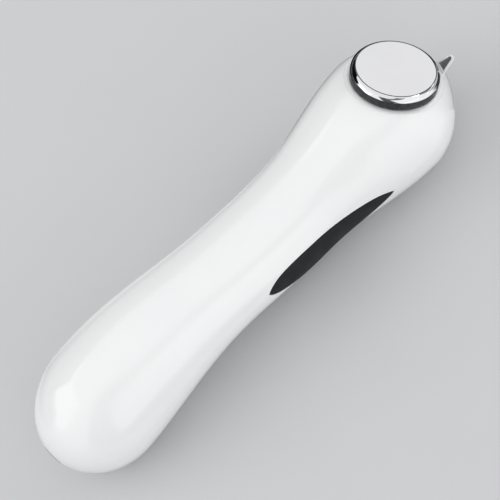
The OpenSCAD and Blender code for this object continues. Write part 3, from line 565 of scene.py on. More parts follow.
class Recipe:
    """The node tree of one material, put together step by step on Object coordinates."""

    def __init__(self, name: str) -> None:
        """Starts a material with one Principled shader.

        Args:
            name: Name of the material.
        """
        self.material = bpy.data.materials.new(name)
        self.material.use_nodes = True
        self.tree = self.material.node_tree
        self.tree.nodes.clear()
        output = self.node("OutputMaterial")
        self.shader = self.node("BsdfPrincipled")
        self.tree.links.new(self.shader.outputs["BSDF"], output.inputs["Surface"])
        self.place = self.node("TexCoord").outputs["Object"]

    def node(
        self, kind: str, source: Socket | None = None, entry: str = "Vector", **values: float | tuple
    ) -> bpy.types.Node:
        """Adds a node.

        Args:
            kind: Its type, without the word ShaderNode.
            source: A socket to link to it, or None.
            entry: Name of the input that takes the source.
            values: Plain values of its inputs, with _ for each space in a name.

        Returns:
            The node.
        """
        node = self.tree.nodes.new(f"ShaderNode{kind}")
        set_inputs(node, **values)
        if source:
            self.tree.links.new(source, node.inputs[entry])
        return node

    def set(self, **values: float | tuple) -> "Recipe":
        """Sets plain values on the shader's own inputs."""
        set_inputs(self.shader, **values)
        return self

    def link(self, source: Socket, name: str) -> None:
        """Links a socket to the shader's input of that name."""
        self.tree.links.new(source, self.shader.inputs[name])

    def stretched(self, scale: Point) -> Socket:
        """Object coordinates, scaled along each axis."""
        return self.node("Mapping", self.place, Scale=scale).outputs["Vector"]

    def noise(self, size: float, detail: float = 2.0, vector: Socket | None = None) -> Socket:
        """Noise with patches about size millimetres wide, with finer layers by detail."""
        node = self.node("TexNoise", vector or self.place, Scale=MM_PER_M / size, Detail=detail)
        return node.outputs["Fac"]

    def cells(self, size: float) -> Socket:
        """Distance to the nearest of scattered points, about size millimetres apart."""
        return self.node("TexVoronoi", self.place, Scale=MM_PER_M / size).outputs["Distance"]

    def bands(self, size: float, axis: str, distortion: float) -> Socket:
        """Bands across one axis.

        Args:
            size: Width of a band in millimetres.
            axis: The axis that the bands follow each other along, X, Y or Z.
            distortion: How far the bands waver.

        Returns:
            The factor socket.
        """
        node = self.node("TexWave", self.place, Scale=MM_PER_M / size / 3.0, Distortion=distortion)
        node.wave_type, node.bands_direction = "BANDS", axis
        return node.outputs["Fac"]

    def level(self, source: Socket, low: float, high: float, start: float = 0.3, end: float = 0.7) -> Socket:
        """A factor stretched from start and end to low and high.

        Args:
            source: The factor.
            low: Result at start and below.
            high: Result at end and above.
            start: Factor that gives low.
            end: Factor that gives high.

        Returns:
            The result's socket.
        """
        node = self.node("MapRange", source, "Value", From_Min=start, From_Max=end, To_Min=low, To_Max=high)
        return node.outputs["Result"]

    def blend(self, factor: Socket, first: Colour, second: Colour) -> Socket:
        """A colour between two, by a factor."""
        node = self.node("Mix")
        node.data_type = "RGBA"
        set_inputs(node, A=(*first, 1.0), B=(*second, 1.0))
        self.tree.links.new(factor, node.inputs["Factor"])
        return node.outputs["Result"]

    def bump(self, source: Socket, depth: float) -> None:
        """Relief on the shader's normal, from a height between 0 and 1 and a depth in millimetres."""
        node = self.node("Bump", source, "Height", Distance=depth / MM_PER_M)
        self.link(node.outputs["Normal"], "Normal")


@dataclass(frozen=True)
class Finish:
    """A moulded or cast surface: two near colours in soft patches, uneven gloss and a fine grain."""

    name: str
    colour: Colour
    shade: Colour
    rough: tuple[float, float]
    patch: float = 12.0
    grain: float = 0.4
    relief: float = 0.01
    metallic: float = 0.0
    coat: float = 0.0
    sheen: float = 0.0
    specular: float = 0.5

    def recipe(self) -> Recipe:
        """The finish's nodes, before what a kind of its own adds."""
        recipe = Recipe(self.name).set(Metallic=self.metallic, Coat_Weight=self.coat, Sheen_Weight=self.sheen)
        recipe.set(Specular_IOR_Level=self.specular)
        patches = recipe.noise(self.patch, 3.0)
        recipe.link(recipe.blend(recipe.level(patches, 0.0, 1.0), self.colour, self.shade), "Base Color")
        recipe.link(recipe.level(patches, *self.rough), "Roughness")
        if self.relief:
            recipe.bump(recipe.noise(self.grain, 2.0), self.relief)
        return recipe

    def material(self) -> bpy.types.Material:
        """The finished material."""
        return self.recipe().material


@dataclass(frozen=True)
class GlossWhite(Finish):
    """Polished white mould with a clear top layer and a trace of waviness."""

    coat_rough: float = 0.03
    index: float = 1.49

    def material(self) -> bpy.types.Material:
        """The finished material."""
        return self.recipe().set(Coat_Roughness=self.coat_rough, IOR=self.index).material


@dataclass(frozen=True)
class Brushed(Finish):
    """Metal with fine parallel scratches along one axis."""

    along: Point = (1.0, 1.0, 1.0)
    scratch: float = 0.12

    def material(self) -> bpy.types.Material:
        """The finished material."""
        recipe = self.recipe()
        scratches = recipe.noise(self.scratch, 4.0, recipe.stretched(self.along))
        recipe.link(recipe.level(scratches, *self.rough), "Roughness")
        recipe.bump(scratches, self.relief)
        return recipe.material


@dataclass(frozen=True)
class Clear(Finish):
    """See-through plastic with faint flow marks from the mould."""

    transmission: float = 1.0
    index: float = 1.49
    alpha: float = 1.0

    def material(self) -> bpy.types.Material:
        """The finished material."""
        clear = {"Transmission_Weight": self.transmission, "IOR": self.index, "Alpha": self.alpha}
        return self.recipe().set(**clear).material


@dataclass(frozen=True)
class Wound(Finish):
    """Wire or wrap in fine bands across one axis."""

    axis: str = "Z"
    pitch: float = 0.3
    waver: float = 0.4

    def material(self) -> bpy.types.Material:
        """The finished material."""
        recipe = self.recipe()
        turns = recipe.bands(self.pitch, self.axis, self.waver)
        share = recipe.level(turns, 0.0, 1.0, 0.2, 0.8)
        recipe.link(recipe.blend(share, self.shade, self.colour), "Base Color")
        recipe.bump(turns, self.relief)
        return recipe.material


@dataclass(frozen=True)
class Celled(Finish):
    """Foam with open round cells."""

    cell: float = 0.6

    def material(self) -> bpy.types.Material:
        """The finished material."""
        recipe = self.recipe()
        cells = recipe.cells(self.cell)
        # Painted shade: the colour darkens toward each scattered point, where the bump sinks into a pore.
        share = recipe.level(cells, 0.0, 1.0, 0.1, 0.6)
        recipe.link(recipe.blend(share, self.shade, self.colour), "Base Color")
        recipe.bump(cells, self.relief)
        return recipe.material


@dataclass(frozen=True)
class Circuit(Finish):
    """Solder mask over copper tracks that run along and across the board."""

    track: Colour = (0.06, 0.3, 0.12)
    pitch: float = 1.6
    offset: float = 0.37
    track_width: float = 0.12
    run_length: float = 4.2
    run_width: float = 0.9

    def material(self) -> bpy.types.Material:
        """The finished material."""
        recipe = self.recipe()
        node = recipe.node(
            "TexBrick", recipe.place, Scale=MM_PER_M / self.pitch, Mortar_Size=self.track_width,
            Brick_Width=self.run_length, Row_Height=self.run_width,
            Color1=(*self.colour, 1.0), Color2=(*self.shade, 1.0), Mortar=(*self.track, 1.0),
        )
        node.offset = self.offset
        recipe.link(node.outputs["Color"], "Base Color")
        recipe.bump(node.outputs["Fac"], self.relief)
        return recipe.material


SHELL_WHITE = GlossWhite(
    "shell_white", (0.86, 0.862, 0.865), (0.84, 0.845, 0.852), (0.16, 0.24), 35.0, 1.6, 0.0012, coat=0.35,
)
INLAY_GREY = Finish(
    "inlay_grey", (0.024, 0.0245, 0.0265), (0.019, 0.0195, 0.0215), (0.46, 0.58), 6.0, 0.25, 0.012,
    specular=0.1,
)
PLATE_RIM = Finish(
    "plate_rim", (0.86, 0.86, 0.87), (0.83, 0.83, 0.845), (0.02, 0.05), 8.0, 2.5, 0.0006, metallic=1.0,
)
PLATE_FACE = Brushed(
    "plate_face", (0.86, 0.86, 0.876), (0.838, 0.838, 0.853), (0.1, 0.2), 9.0, 1.0, 0.0006, metallic=1.0,
    along=(1.0, 8.0, 1.0),
)
# Painted reflection and shade: this dark colour stands in for dark surroundings mirrored in the rim's lower
# band and crease, and for the shade where the rim meets the gasket.
PLATE_PAINTED_DARK_BAND = Finish(
    "plate_painted_dark_band", (0.06, 0.062, 0.065), (0.022, 0.023, 0.025), (0.12, 0.2), 1.2, 0.4, 0.001,
    specular=0.12,
)
RING_CLEAR = Clear(
    "ring_clear", (0.98, 0.985, 0.987), (0.965, 0.972, 0.975), (0.0, 0.02), 3.0, relief=0.0, index=1.2,
    alpha=0.14,
)
# Painted highlight: a milky white border that stands in for the bright edge glints of the clear tab.
TAB_PAINTED_HIGHLIGHT_BORDER = Clear(
    "tab_painted_highlight_border", (0.95, 0.953, 0.956), (0.91, 0.914, 0.918), (0.1, 0.2), 3.0, relief=0.0,
    transmission=0.25, index=1.4, alpha=0.85,
)
# Painted shade: a dark grey web that stands in for a dark backdrop seen through the clear tab.
TAB_PAINTED_SHADE_WEB = Clear(
    "tab_painted_shade_web", (0.16, 0.165, 0.17), (0.09, 0.095, 0.1), (0.04, 0.12), 1.4, relief=0.0, transmission=0.3,
    index=1.3, alpha=0.85,
)
PANEL_GREY = Finish(
    "panel_grey", (0.085, 0.09, 0.095), (0.07, 0.074, 0.08), (0.08, 0.16), 9.0, 1.4, 0.0012, coat=0.6,
)
BUTTON_WHITE = GlossWhite(
    "button_white", (0.83, 0.832, 0.836), (0.8, 0.803, 0.81), (0.2, 0.3), 4.0, 0.8, 0.0015, coat=0.3,
)
LIGHT_PIPE = Clear(
    "light_pipe", (0.72, 0.85, 0.93), (0.66, 0.8, 0.9), (0.06, 0.16), 1.0, 0.3, 0.002, transmission=0.7,
)
BEZEL_GREY = Finish(
    "bezel_grey", (0.36, 0.365, 0.37), (0.31, 0.315, 0.32), (0.12, 0.22), 3.0, 0.5, 0.002, coat=0.4,
)
CAP_WHITE = Finish(
    "cap_white", (0.76, 0.76, 0.755), (0.71, 0.71, 0.7), (0.4, 0.55), 2.0, 0.2, 0.008, sheen=0.1,
)
SCREW_STEEL = Brushed(
    "screw_steel", (0.6, 0.6, 0.61), (0.45, 0.45, 0.46), (0.22, 0.4), 1.5, 0.2, 0.004, metallic=1.0,
    along=(1.0, 1.0, 6.0),
)

INNER_FINISHES: dict[str, Finish] = {
    "plate_gasket": Finish(
        "gasket", (0.5, 0.505, 0.51), (0.42, 0.425, 0.43), (0.5, 0.65), 2.0, 0.25, 0.01, sheen=0.1,
    ),
    "plate_carrier": Finish(
        "natural_plastic", (0.69, 0.67, 0.57), (0.64, 0.62, 0.52), (0.35, 0.5), 6.0, 0.3, 0.006,
    ),
    "heater_pad": Wound(
        "heater_film", (0.62, 0.22, 0.03), (0.35, 0.1, 0.015), (0.2, 0.35), 4.0, 0.5, 0.01, axis="Y",
        pitch=0.9,
    ),
    "black_part": Finish(
        "black_moulding", (0.018, 0.018, 0.019), (0.028, 0.028, 0.03), (0.35, 0.55), 3.0, 0.2, 0.006,
    ),
    "indicator_leds": Finish(
        "led_resin", (0.83, 0.75, 0.3), (0.9, 0.86, 0.5), (0.15, 0.3), 0.8, 0.2, 0.003,
    ),
    "main_board": Circuit(
        "solder_mask", (0.012, 0.12, 0.035), (0.016, 0.14, 0.045), (0.25, 0.4), 6.0, 0.3, 0.02,
    ),
    "boost_coil": Wound(
        "coil_ferrite", (0.32, 0.12, 0.035), (0.03, 0.022, 0.02), (0.3, 0.5), 3.0, 0.2, 0.05, axis="Z",
        pitch=0.35,
    ),
    "capacitors": Wound(
        "capacitor_sleeve", (0.03, 0.035, 0.16), (0.02, 0.024, 0.11), (0.12, 0.25), 3.0, 0.4, 0.004,
        axis="Z", pitch=4.0,
    ),
    "battery_cell": Finish(
        "cell_wrap", (0.02, 0.1, 0.42), (0.015, 0.075, 0.34), (0.15, 0.32), 10.0, 1.5, 0.01, coat=0.4,
    ),
    "cell_foam": Celled("foam", (0.04, 0.04, 0.042), (0.012, 0.012, 0.013), (0.75, 0.95), 3.0, 0.3, 0.2),
    "vibration_motor": Brushed(
        "motor_can", (0.58, 0.58, 0.59), (0.5, 0.5, 0.51), (0.18, 0.34), 4.0, 0.2, 0.004, metallic=1.0,
        along=(7.0, 1.0, 1.0),
    ),
    "eccentric_weight": Finish(
        "sintered_weight", (0.3, 0.3, 0.31), (0.2, 0.2, 0.21), (0.45, 0.65), 1.5, 0.15, 0.02,
        metallic=0.9,
    ),
}
LEADS: dict[str, tuple[str, Colour, Colour]] = {
    "battery_leads": ("lead_red", (0.42, 0.012, 0.01), (0.36, 0.01, 0.009)),
    "charge_leads": ("lead_black", (0.014, 0.014, 0.015), (0.02, 0.02, 0.021)),
    "motor_leads": ("lead_blue", (0.012, 0.05, 0.36), (0.01, 0.04, 0.3)),
    "plate_leads": ("lead_yellow", (0.6, 0.4, 0.02), (0.53, 0.34, 0.016)),
    "grip_leads": ("lead_green", (0.02, 0.25, 0.05), (0.016, 0.2, 0.04)),
}
INNER_FINISHES |= {
    node: Finish(*look, (0.35, 0.5), 3.0, 0.3, 0.004, sheen=0.1) for node, look in LEADS.items()
}

SHARED_FINISHES: dict[str, tuple[str, ...]] = {
    "plate_carrier": ("wire_connectors", "battery_tray", "motor_cradle", "motor_clamp"),
    "black_part": (
        "thermistor", "power_plunger", "mode_plunger", "switch_bodies", "controller_chip",
        "charger_chip", "buzzer", "charging_jack", "motor_damper",
    ),
}


# Sub-assemblies


@dataclass
class Post:
    """A round post inside a shell that stands on its inner wall."""

    x: float
    y: float
    top: float
    diameter: float
    bore: float = 0.0
    bore_depth: float = 0.0
    through: bool = False
    seat_depth: float = 0.0
    seat_bore: float = 0.0
    root: float = 0.6
    turns: int = 32

    def sheet(self, form: BodyForm, side: Side) -> Sheet:
        """The post's closed surface.

        Its profile runs from the wall up the outside, over the top and down the bore. The ends
        stand in the wall, at the share root of its thickness, and follow it over each point.

        Args:
            form: The body that the post stands in.
            side: The shell that it belongs to, front or back.

        Returns:
            The sheet.
        """
        radius, bore, wide = self.diameter / 2, self.bore / 2, self.seat_bore / 2
        rows: list[tuple[float, float | None]] = [(radius, None), (radius, self.top)]
        if self.through:
            seat = self.top + side.sign * self.seat_depth
            rows += [(bore, self.top), (bore, seat), (wide, seat), (wide, None)]
        elif self.bore:
            floor = self.top + side.sign * self.bore_depth
            rows = [(0.0, None), *rows, (bore, self.top), (bore, floor), (0.0, floor)]
        else:
            rows = [(0.0, None), *rows, (0.0, self.top)]
        a = round_turn(self.turns)
        r = np.array([row[0] for row in rows])[:, None]
        x, y = self.x + r * np.cos(a), self.y + r * np.sin(a)
        wall = form.wall_height(x, y, side, form.wall * self.root)
        z = [wall[i] if row[1] is None else np.full(len(a), row[1]) for i, row in enumerate(rows)]
        return Sheet(np.stack([x, y, z], axis=-1), wrap_rows=self.through)


@dataclass
class Housing:
    """Front and rear shell with their openings and inner posts."""

    form: BodyForm
    facet: Facet
    inlay: "GripInlay"
    panel: "ControlPanel"
    seam: float = 0.05
    stations: int = 230
    outer_steps: int = 96
    inner_steps: int = 40
    fit: float = 0.2
    facet_edge: float = 0.28
    flat_edge: float = 0.06
    screw_diameter: float = 2.6
    screw_head: float = 4.6
    boss: float = 6.2
    boss_depth: float = 10.0
    small_boss: float = 5.0
    small_bore: float = 1.7
    small_depth: float = 5.0
    foam_posts: tuple[Point, ...] = ((40.25, 0.0, 10.75), (64.75, 0.0, 10.75))
    jack_post: Point = (9.0, 0.0, -6.65)
    small_posts: tuple[Point, ...] = (
        (52.5, 11.25, -8.25), (86.0, 8.6, -7.6), (142.0, 8.6, -7.6), (158.5, 10.6, -11.0),
    )
    tail_bores: tuple[tuple[float, float, int], ...] = ((3.0, 6.0, 64), (4.3, 2.4, 96))
    tail_start: float = -1.0
    neck_floor: float = -4.2
    neck_top: float = 1.5
    cap_gap: float = 4.0
    below: float = -30.0

    def shell(self, side: Side) -> Sheet:
        """One half shell as a closed sheet.

        Each row is a closed loop: the half ellipse of a station from one parting edge to the
        other, and back along the half ellipse of the inner surface. The rows run from the tail
        to the nose, closer together at both, where each loop falls together in two points.

        Args:
            side: Front or back.

        Returns:
            The sheet, with the facet and the flats laid in.
        """
        form, first = self.form, 0.0 if side is Side.FRONT else math.pi
        outer_x = cosine_steps(0.0, form.length, self.stations)[:, None]
        inner_x = cosine_steps(form.wall, form.length - form.wall, self.stations)[:, None]
        outward = first + np.linspace(0.0, math.pi, self.outer_steps + 1)[None, :]
        inward = first + np.linspace(math.pi, 0.0, self.inner_steps + 1)[None, :]
        outer, inner = form.skin(outer_x, outward), form.skin(inner_x, inward, form.wall)
        for points in (outer, inner):
            points[..., 2] += side.sign * self.seam / 2
        if side is Side.FRONT:
            outer = self.facet.flatten(outer, 0.0, self.facet_edge)
            inner = self.facet.flatten(inner, -form.wall, self.facet_edge)
        else:
            over = -outer[..., 2] - form.rest_height
            outer[..., 2] -= soft_below(over, self.flat_edge) - over
        return Sheet(np.concatenate([outer, inner], axis=1))

    def posts(self, side: Side) -> list[Post]:
        """The posts of one shell.

        Args:
            side: Front or back.

        Returns:
            Screw bosses in both, foam posts in front, and posts for tray, board, motor and jack behind.
        """
        form, behind = self.form, side is Side.BACK
        bosses = [
            Post(
                x, y, float(form.spine(x)) + side.sign * self.seam / 2, self.boss,
                self.screw_diameter + (2 * self.fit if behind else 0.0), self.boss_depth,
                behind, form.screw_depth, self.screw_head + 2 * self.fit,
            )
            for x, y in form.screws
        ]
        if not behind:
            return bosses + [Post(*place, self.boss) for place in self.foam_posts]
        small = [
            Post(x, s * y, z, self.small_boss, self.small_bore, self.small_depth)
            for x, y, z in self.small_posts for s in (-1, 1)
        ]
        return [*bosses, Post(*self.jack_post, self.boss), *small]

    def openings(self, side: Side) -> list[Sheet]:
        """The cutters of one shell.

        Args:
            side: Front or back.

        Returns:
            Closed sheets for the socket, the inlays' recesses and studs, and the neck or the back's holes.
        """
        form, fit = self.form, self.fit
        cutters = [
            lengthwise(plain_bar(radius, 0.0, depth, turns), (self.tail_start, 0.0, form.socket_z))
            for radius, depth, turns in self.tail_bores
        ]
        cutters += [self.inlay.recess(s, fit) for s in (Side.LEFT, Side.RIGHT)]
        if side is Side.FRONT:
            neck = plain_bar(form.neck_diameter / 2 + fit, self.neck_floor, self.neck_top, 160)
            return [*cutters, self.facet.carry(neck)]
        cutters += [self.inlay.stud_hole(s, fit) for s in (Side.LEFT, Side.RIGHT)]
        cutters += [self.panel.recess(fit), *self.panel.shell_holes(fit)]
        for x, y in form.screws:
            top = float(form.spine(x)) - form.screw_depth - self.cap_gap
            cutters.append(upright(plain_bar(self.screw_head / 2 + fit, self.below, top, 48), (x, y, 0.0)))
        return cutters

    def build(self) -> None:
        """Builds and dresses both shells."""
        for side, node in ((Side.FRONT, "front_shell"), (Side.BACK, "rear_shell")):
            mesh = carve(mesh_of(node, [self.shell(side)]), self.openings(side))
            join(mesh, [post.sheet(self.form, side) for post in self.posts(side)])
            finish_piece(f"{node}_moulding", mesh, [SHELL_WHITE], "shell_white", node, sharp=28.0)


@dataclass
class GripInlay:
    """The leaf-shaped dark inlay on each side of the waist, with its stud."""

    form: BodyForm
    start: float = 93.0
    end: float = 147.7
    rise: float = 3.1
    sag: float = 9.0
    tail_tip_rise: float = 1.4
    head_tip_drop: float = 0.9
    proud: float = 0.4
    depth: float = 1.1
    lip: float = 0.02
    play: float = 0.1
    stud_x: float = 121.99
    stud_drop: float = 1.5
    stud_diameter: float = 3.0
    stud_edge: float = 0.2
    hole_start: float = 8.0
    hole_length: float = 12.0
    recess_height: float = 2.0
    along: int = 120
    across: int = 24

    def edges(self, t: np.ndarray) -> tuple[np.ndarray, np.ndarray]:
        """Lower and upper edge of the leaf at t, from 0 at the tail tip to 1 at the head tip.

        Both leave a straight line between the tips: the upper by one minus the seventh power of
        the distance from the middle, which is flat and drops near both tips, and the lower by a
        sine of t to the power 0.8, raised to 0.8, which is fullest toward the tail.

        Args:
            t: Places along the leaf.

        Returns:
            The heights of both edges.
        """
        tail_tip = self.form.spine(self.start) + self.tail_tip_rise
        line = mix(tail_tip, self.form.spine(self.end) - self.head_tip_drop, t)
        bulge = 1 - np.abs(2 * t - 1) ** 7
        hang = np.clip(np.sin(np.pi * t**0.8), 0, None) ** 0.8
        return line - self.sag * hang, line + self.rise * bulge

    def loops(self, side: Side, grown: float, outer: float, inner: float, crown: float) -> np.ndarray:
        """Closed loops round the leaf, from tip to tip.

        Args:
            side: Left or right.
            grown: How far the outline is moved out.
            outer: Height of the outer surface over the body at its edge.
            inner: Depth of the inner surface.
            crown: Further height of the outer surface at the middle of the leaf.

        Returns:
            Points in rows along the leaf: the outer surface up, and the inner one down. The crown
            falls off with the eighth power of the distance from the middle, as a rounded edge does.
        """
        t = ease(np.linspace(0.0, 1.0, self.along + 1))[:, None]
        x = mix(self.start - 2 * grown, self.end + 2 * grown, t)
        low, high = self.edges(t)
        v = edge_to_edge(self.across)
        z = mix(low - grown, high + grown, 0.5 + 0.5 * v)
        taper = np.clip(4 * np.minimum(t, 1 - t), 0, 1) ** 0.5
        lift = outer + crown * (1 - np.abs(v) ** 8) ** 0.5 * taper
        x = np.broadcast_to(x, z.shape)
        top, bottom = (
            np.stack([x, side.sign * self.form.side_reach(x, z, inset), z], axis=-1)
            for inset in (-lift, inner)
        )
        return np.concatenate([top, bottom[:, ::-1]], axis=1)

    def recess(self, side: Side, fit: float) -> Sheet:
        """The cutter of the leaf's recess, with a clearance all round."""
        return Sheet(self.loops(side, fit, self.recess_height, self.depth, 0.0), capped=True)

    def stud_z(self) -> float:
        """Height of the stud, a little under the middle of the leaf."""
        low, high = self.edges(np.array((self.stud_x - self.start) / (self.end - self.start)))
        return float((low + high) / 2 - self.stud_drop)

    def stud_hole(self, side: Side, fit: float) -> Sheet:
        """The cutter of the stud's hole."""
        hole = plain_bar((self.stud_diameter + fit) / 2, 0.0, self.hole_length, 32)
        return sideways(hole, (self.stud_x, side.sign * self.hole_start, self.stud_z()), side)

    def build(self) -> None:
        """Builds and dresses both inlays."""
        x, z = np.array(self.stud_x), self.stud_z()
        root = float(self.form.side_reach(x, z, self.depth * 0.3))
        tip = float(self.form.side_reach(x, z, self.form.wall + 1))
        profile = rounded_bar(self.stud_diameter / 2, 0.0, root - tip, self.stud_edge)
        for side, node in ((Side.LEFT, "left_grip_inlay"), (Side.RIGHT, "right_grip_inlay")):
            leaf = Sheet(self.loops(side, 0.0, self.lip, self.depth - self.play, self.proud - self.lip))
            stud = sideways(lathe(profile, 32), (self.stud_x, side.sign * tip, z), side)
            mesh = mesh_of(node, [leaf, stud])
            finish_piece(f"{node}_moulding", mesh, [INLAY_GREY], "inlay_grey", node, sharp=40.0)


@dataclass
class TreatmentPlate:
    """The metal plate: a flat face, a rounded mirror rim, and a neck that goes into the shell."""

    form: BodyForm
    facet: Facet
    diameter: float = 31.2
    face_diameter: float = 28.0
    rim_radius: float = 2.4
    rise: float = 5.7
    metal: float = 1.2
    gasket: float = 1.0
    crease: float = 0.14
    skirt: float = 0.55
    skirt_wall: float = 0.5
    skirt_edge: float = 0.2
    # How far over the rim's shoulder the painted dark band of reflection and shade reaches.
    painted_band_rise: float = 0.35
    boss_circle: float = 9.4
    boss_radius: float = 1.8
    boss_bore: float = 0.85
    boss_floor: float = 2.3
    boss_angles: tuple[float, ...] = (90, 210, 330)
    turns: int = 192

    def profile(self) -> tuple[Profile, Profile]:
        """The plate's outline from the middle of the face to the middle of its inside.

        Returns:
            The face alone, and the rim, neck and inside after it.
        """
        radius, face, neck = self.diameter / 2, self.face_diameter / 2, self.form.neck_diameter / 2
        centre_r, centre_h = radius - self.rim_radius, self.shoulder()
        start = math.degrees(math.atan2(self.rise - centre_h, face - centre_r))
        inside, end = neck - self.metal, -self.form.wall - 1
        foot, edge = self.gasket - self.skirt, self.skirt_edge
        crown = [(r, self.rise) for r in np.linspace(0.0, face - self.crease, 12)]
        rest = [
            (face - self.crease, self.rise), (face - 0.03, self.rise - 0.02),
            *arc((centre_r, centre_h), self.rim_radius, start - 1.5, 0, 22),
            (radius, foot + edge), *arc((radius - edge, foot + edge), edge, 0, -90, 5),
            (radius - self.skirt_wall, foot), (radius - self.skirt_wall, self.gasket),
            (neck, self.gasket), (neck, end), (inside, end),
            (inside, self.rise - self.metal), (0.0, self.rise - self.metal),
        ]
        return crown, rest

    def shoulder(self) -> float:
        """Height at which the rounded rim meets the straight band."""
        inset = self.face_diameter / 2 - self.diameter / 2 + self.rim_radius
        return self.rise - math.sqrt(self.rim_radius**2 - inset**2)

    def bosses(self) -> list[Sheet]:
        """The three hollow screw bosses inside the plate."""
        bore, radius, circle = self.boss_bore, self.boss_radius, self.boss_circle
        floor, end, top = self.boss_floor, -self.form.wall, self.rise - self.metal + 0.2
        profile = [(0.0, floor), (bore, floor), (bore, end), (radius, end), (radius, top), (0.0, top)]
        turns = map(math.radians, self.boss_angles)
        places = [(circle * math.cos(a), circle * math.sin(a), 0.0) for a in turns]
        return [self.facet.carry(upright(lathe(profile, 32), place)) for place in places]

    def build(self) -> None:
        """Builds the plate: mirror rim, brushed face, and a dark band of painted reflection and shade where
        the rim drops to the gasket.
        """
        crown, rest = self.profile()
        mesh = mesh_of("treatment_plate", [self.facet.carry(lathe(crown + rest, self.turns))])
        join(mesh, self.bosses())
        centres = face_centres(mesh)
        height = self.facet.height(centres)
        away = centres - np.array([self.facet.x, 0.0, self.facet.z])
        radial = np.linalg.norm(away - np.outer(height, self.facet.normal), axis=1)
        on_face = (height > self.rise - 0.005) & (radial < self.face_diameter / 2 - self.crease)
        # Painted reflection and shade: the band below the rim's shoulder and the ring at the crease take the
        # dark colour.
        on_painted_band = (height < self.shoulder() + self.painted_band_rise) & (radial > self.form.neck_diameter / 2 + 0.1)
        on_painted_band |= np.abs(radial - self.face_diameter / 2) < self.crease
        mark_faces(mesh, on_face, on_painted_band)
        metals = [PLATE_RIM, PLATE_FACE, PLATE_PAINTED_DARK_BAND]
        finish_piece("treatment_plate_metal", mesh, metals, "plate_chrome", "treatment_plate", sharp=20.0)


@dataclass
class CottonRing:
    """The clear ring that holds a cotton sheet round the plate, with its lift tab off the nose."""

    facet: Facet
    inner: float = 15.95
    outer: float = 17.45
    seat: float = 0.15
    height: float = 1.6
    edge: float = 0.3
    turn: float = 15.0
    lift: float = 49.0
    root: float = 0.5
    length: float = 7.2
    base: float = 6.4
    tip: float = 3.3
    thick: float = 1.1
    flare: float = 1.2
    flare_reach: float = 0.7
    round_off: float = 0.4
    web: float = 0.45
    web_start: float = 1.2
    web_slope: float = 0.6
    border: float = 0.6
    border_slope: float = 0.35
    along: int = 90
    across: int = 56

    def axes(self) -> tuple[np.ndarray, np.ndarray]:
        """Place of the tab's root, and its directions along, across and through, in body coordinates."""
        turn, lift = math.radians(self.turn), math.radians(self.lift)
        out, up = np.array([math.cos(turn), -math.sin(turn), 0.0]), np.array([0.0, 0.0, 1.0])
        own = np.stack([
            math.cos(lift) * out + math.sin(lift) * up,
            np.array([math.sin(turn), math.cos(turn), 0.0]),
            math.cos(lift) * up - math.sin(lift) * out,
        ])
        root = out * (self.outer - self.root) + up * (self.seat + self.height / 2)
        return self.facet.place(root), self.facet.place(own) - self.facet.place(np.zeros(3))

    def half_width(self, s: np.ndarray) -> np.ndarray:
        """Half the width of the tab at s: a straight taper, flared at the ring, to a round tip."""
        radius = self.tip / 2
        straight = mix(self.base / 2, radius, s / (self.length - radius))
        straight = straight + self.flare * np.exp(-(s + self.root) / self.flare_reach)
        end = np.sqrt(np.clip(radius**2 - np.clip(s - self.length + radius, 0, None) ** 2, 0, None))
        return np.where(s > self.length - radius, end, straight)

    def inward(self, s: np.ndarray, t: np.ndarray) -> np.ndarray:
        """Distance of the point s, t of the tab from its outline."""
        radius = self.tip / 2
        end = radius - np.hypot(s - self.length + radius, t)
        return np.where(s > self.length - radius, end, self.half_width(s) - np.abs(t))

    def tab(self) -> Sheet:
        """The tab: a thick rounded border round a thin web.

        Half its thickness follows a quarter circle in from the outline, and eases down to the web
        past the border. The rows run from the root to the tip, closer together at the tip.

        Returns:
            The sheet, closed at its root by a row without thickness.
        """
        share = np.sin(np.linspace(0.0, np.pi / 2, self.along + 1))[:, None]
        s = -self.root + (self.length + self.root) * share
        t = self.half_width(s) * edge_to_edge(self.across)
        s = np.broadcast_to(s, t.shape)
        inward = np.clip(self.inward(s, t), 0.0, None)
        rounded = self.thick / 2 * np.sqrt(1 - (1 - np.clip(inward / self.round_off, 0, 1)) ** 2)
        thin = ease((inward - self.border) / self.border_slope) * ease((s - self.web_start) / self.web_slope)
        half = mix(rounded, self.web / 2, thin)
        loops = [np.concatenate([part, part[:, ::-1]], axis=1) for part in (s, t)]
        through = np.concatenate([half, -half[:, ::-1]], axis=1)
        own = np.stack([*loops, through], axis=-1)
        closing = own[:1] * np.array([1.0, 1.0, 0.0])
        start, axes = self.axes()
        return Sheet(start + np.concatenate([closing, own]) @ axes)

    def build(self) -> None:
        """Builds the clear ring, with a painted highlight as a paler border round its tab and painted shade
        as a dark web inside it.
        """
        profile = rounded_ring(self.inner, self.outer, self.seat, self.seat + self.height, self.edge)
        band = self.facet.carry(lathe(profile, 192, closed=True))
        mesh = carve(mesh_of("cotton_ring", [band]), [self.tab()], union=True)
        start, axes = self.axes()
        s, t, _ = ((face_centres(mesh) - start) @ axes.T).T
        # Painted shade on the web well inside the border; the rest of the tab past its root takes the painted
        # highlight border.
        on_painted_shade_web = (s > self.web_start + self.web_slope / 2) & (self.inward(s, t) > self.border + 0.2)
        mark_faces(mesh, (s > self.root + 0.1) & ~on_painted_shade_web, on_painted_shade_web)
        clears = [RING_CLEAR, TAB_PAINTED_HIGHLIGHT_BORDER, TAB_PAINTED_SHADE_WEB]
        finish_piece("cotton_ring_clear", mesh, clears, "ring_clear", "cotton_ring", body="cotton_ring")


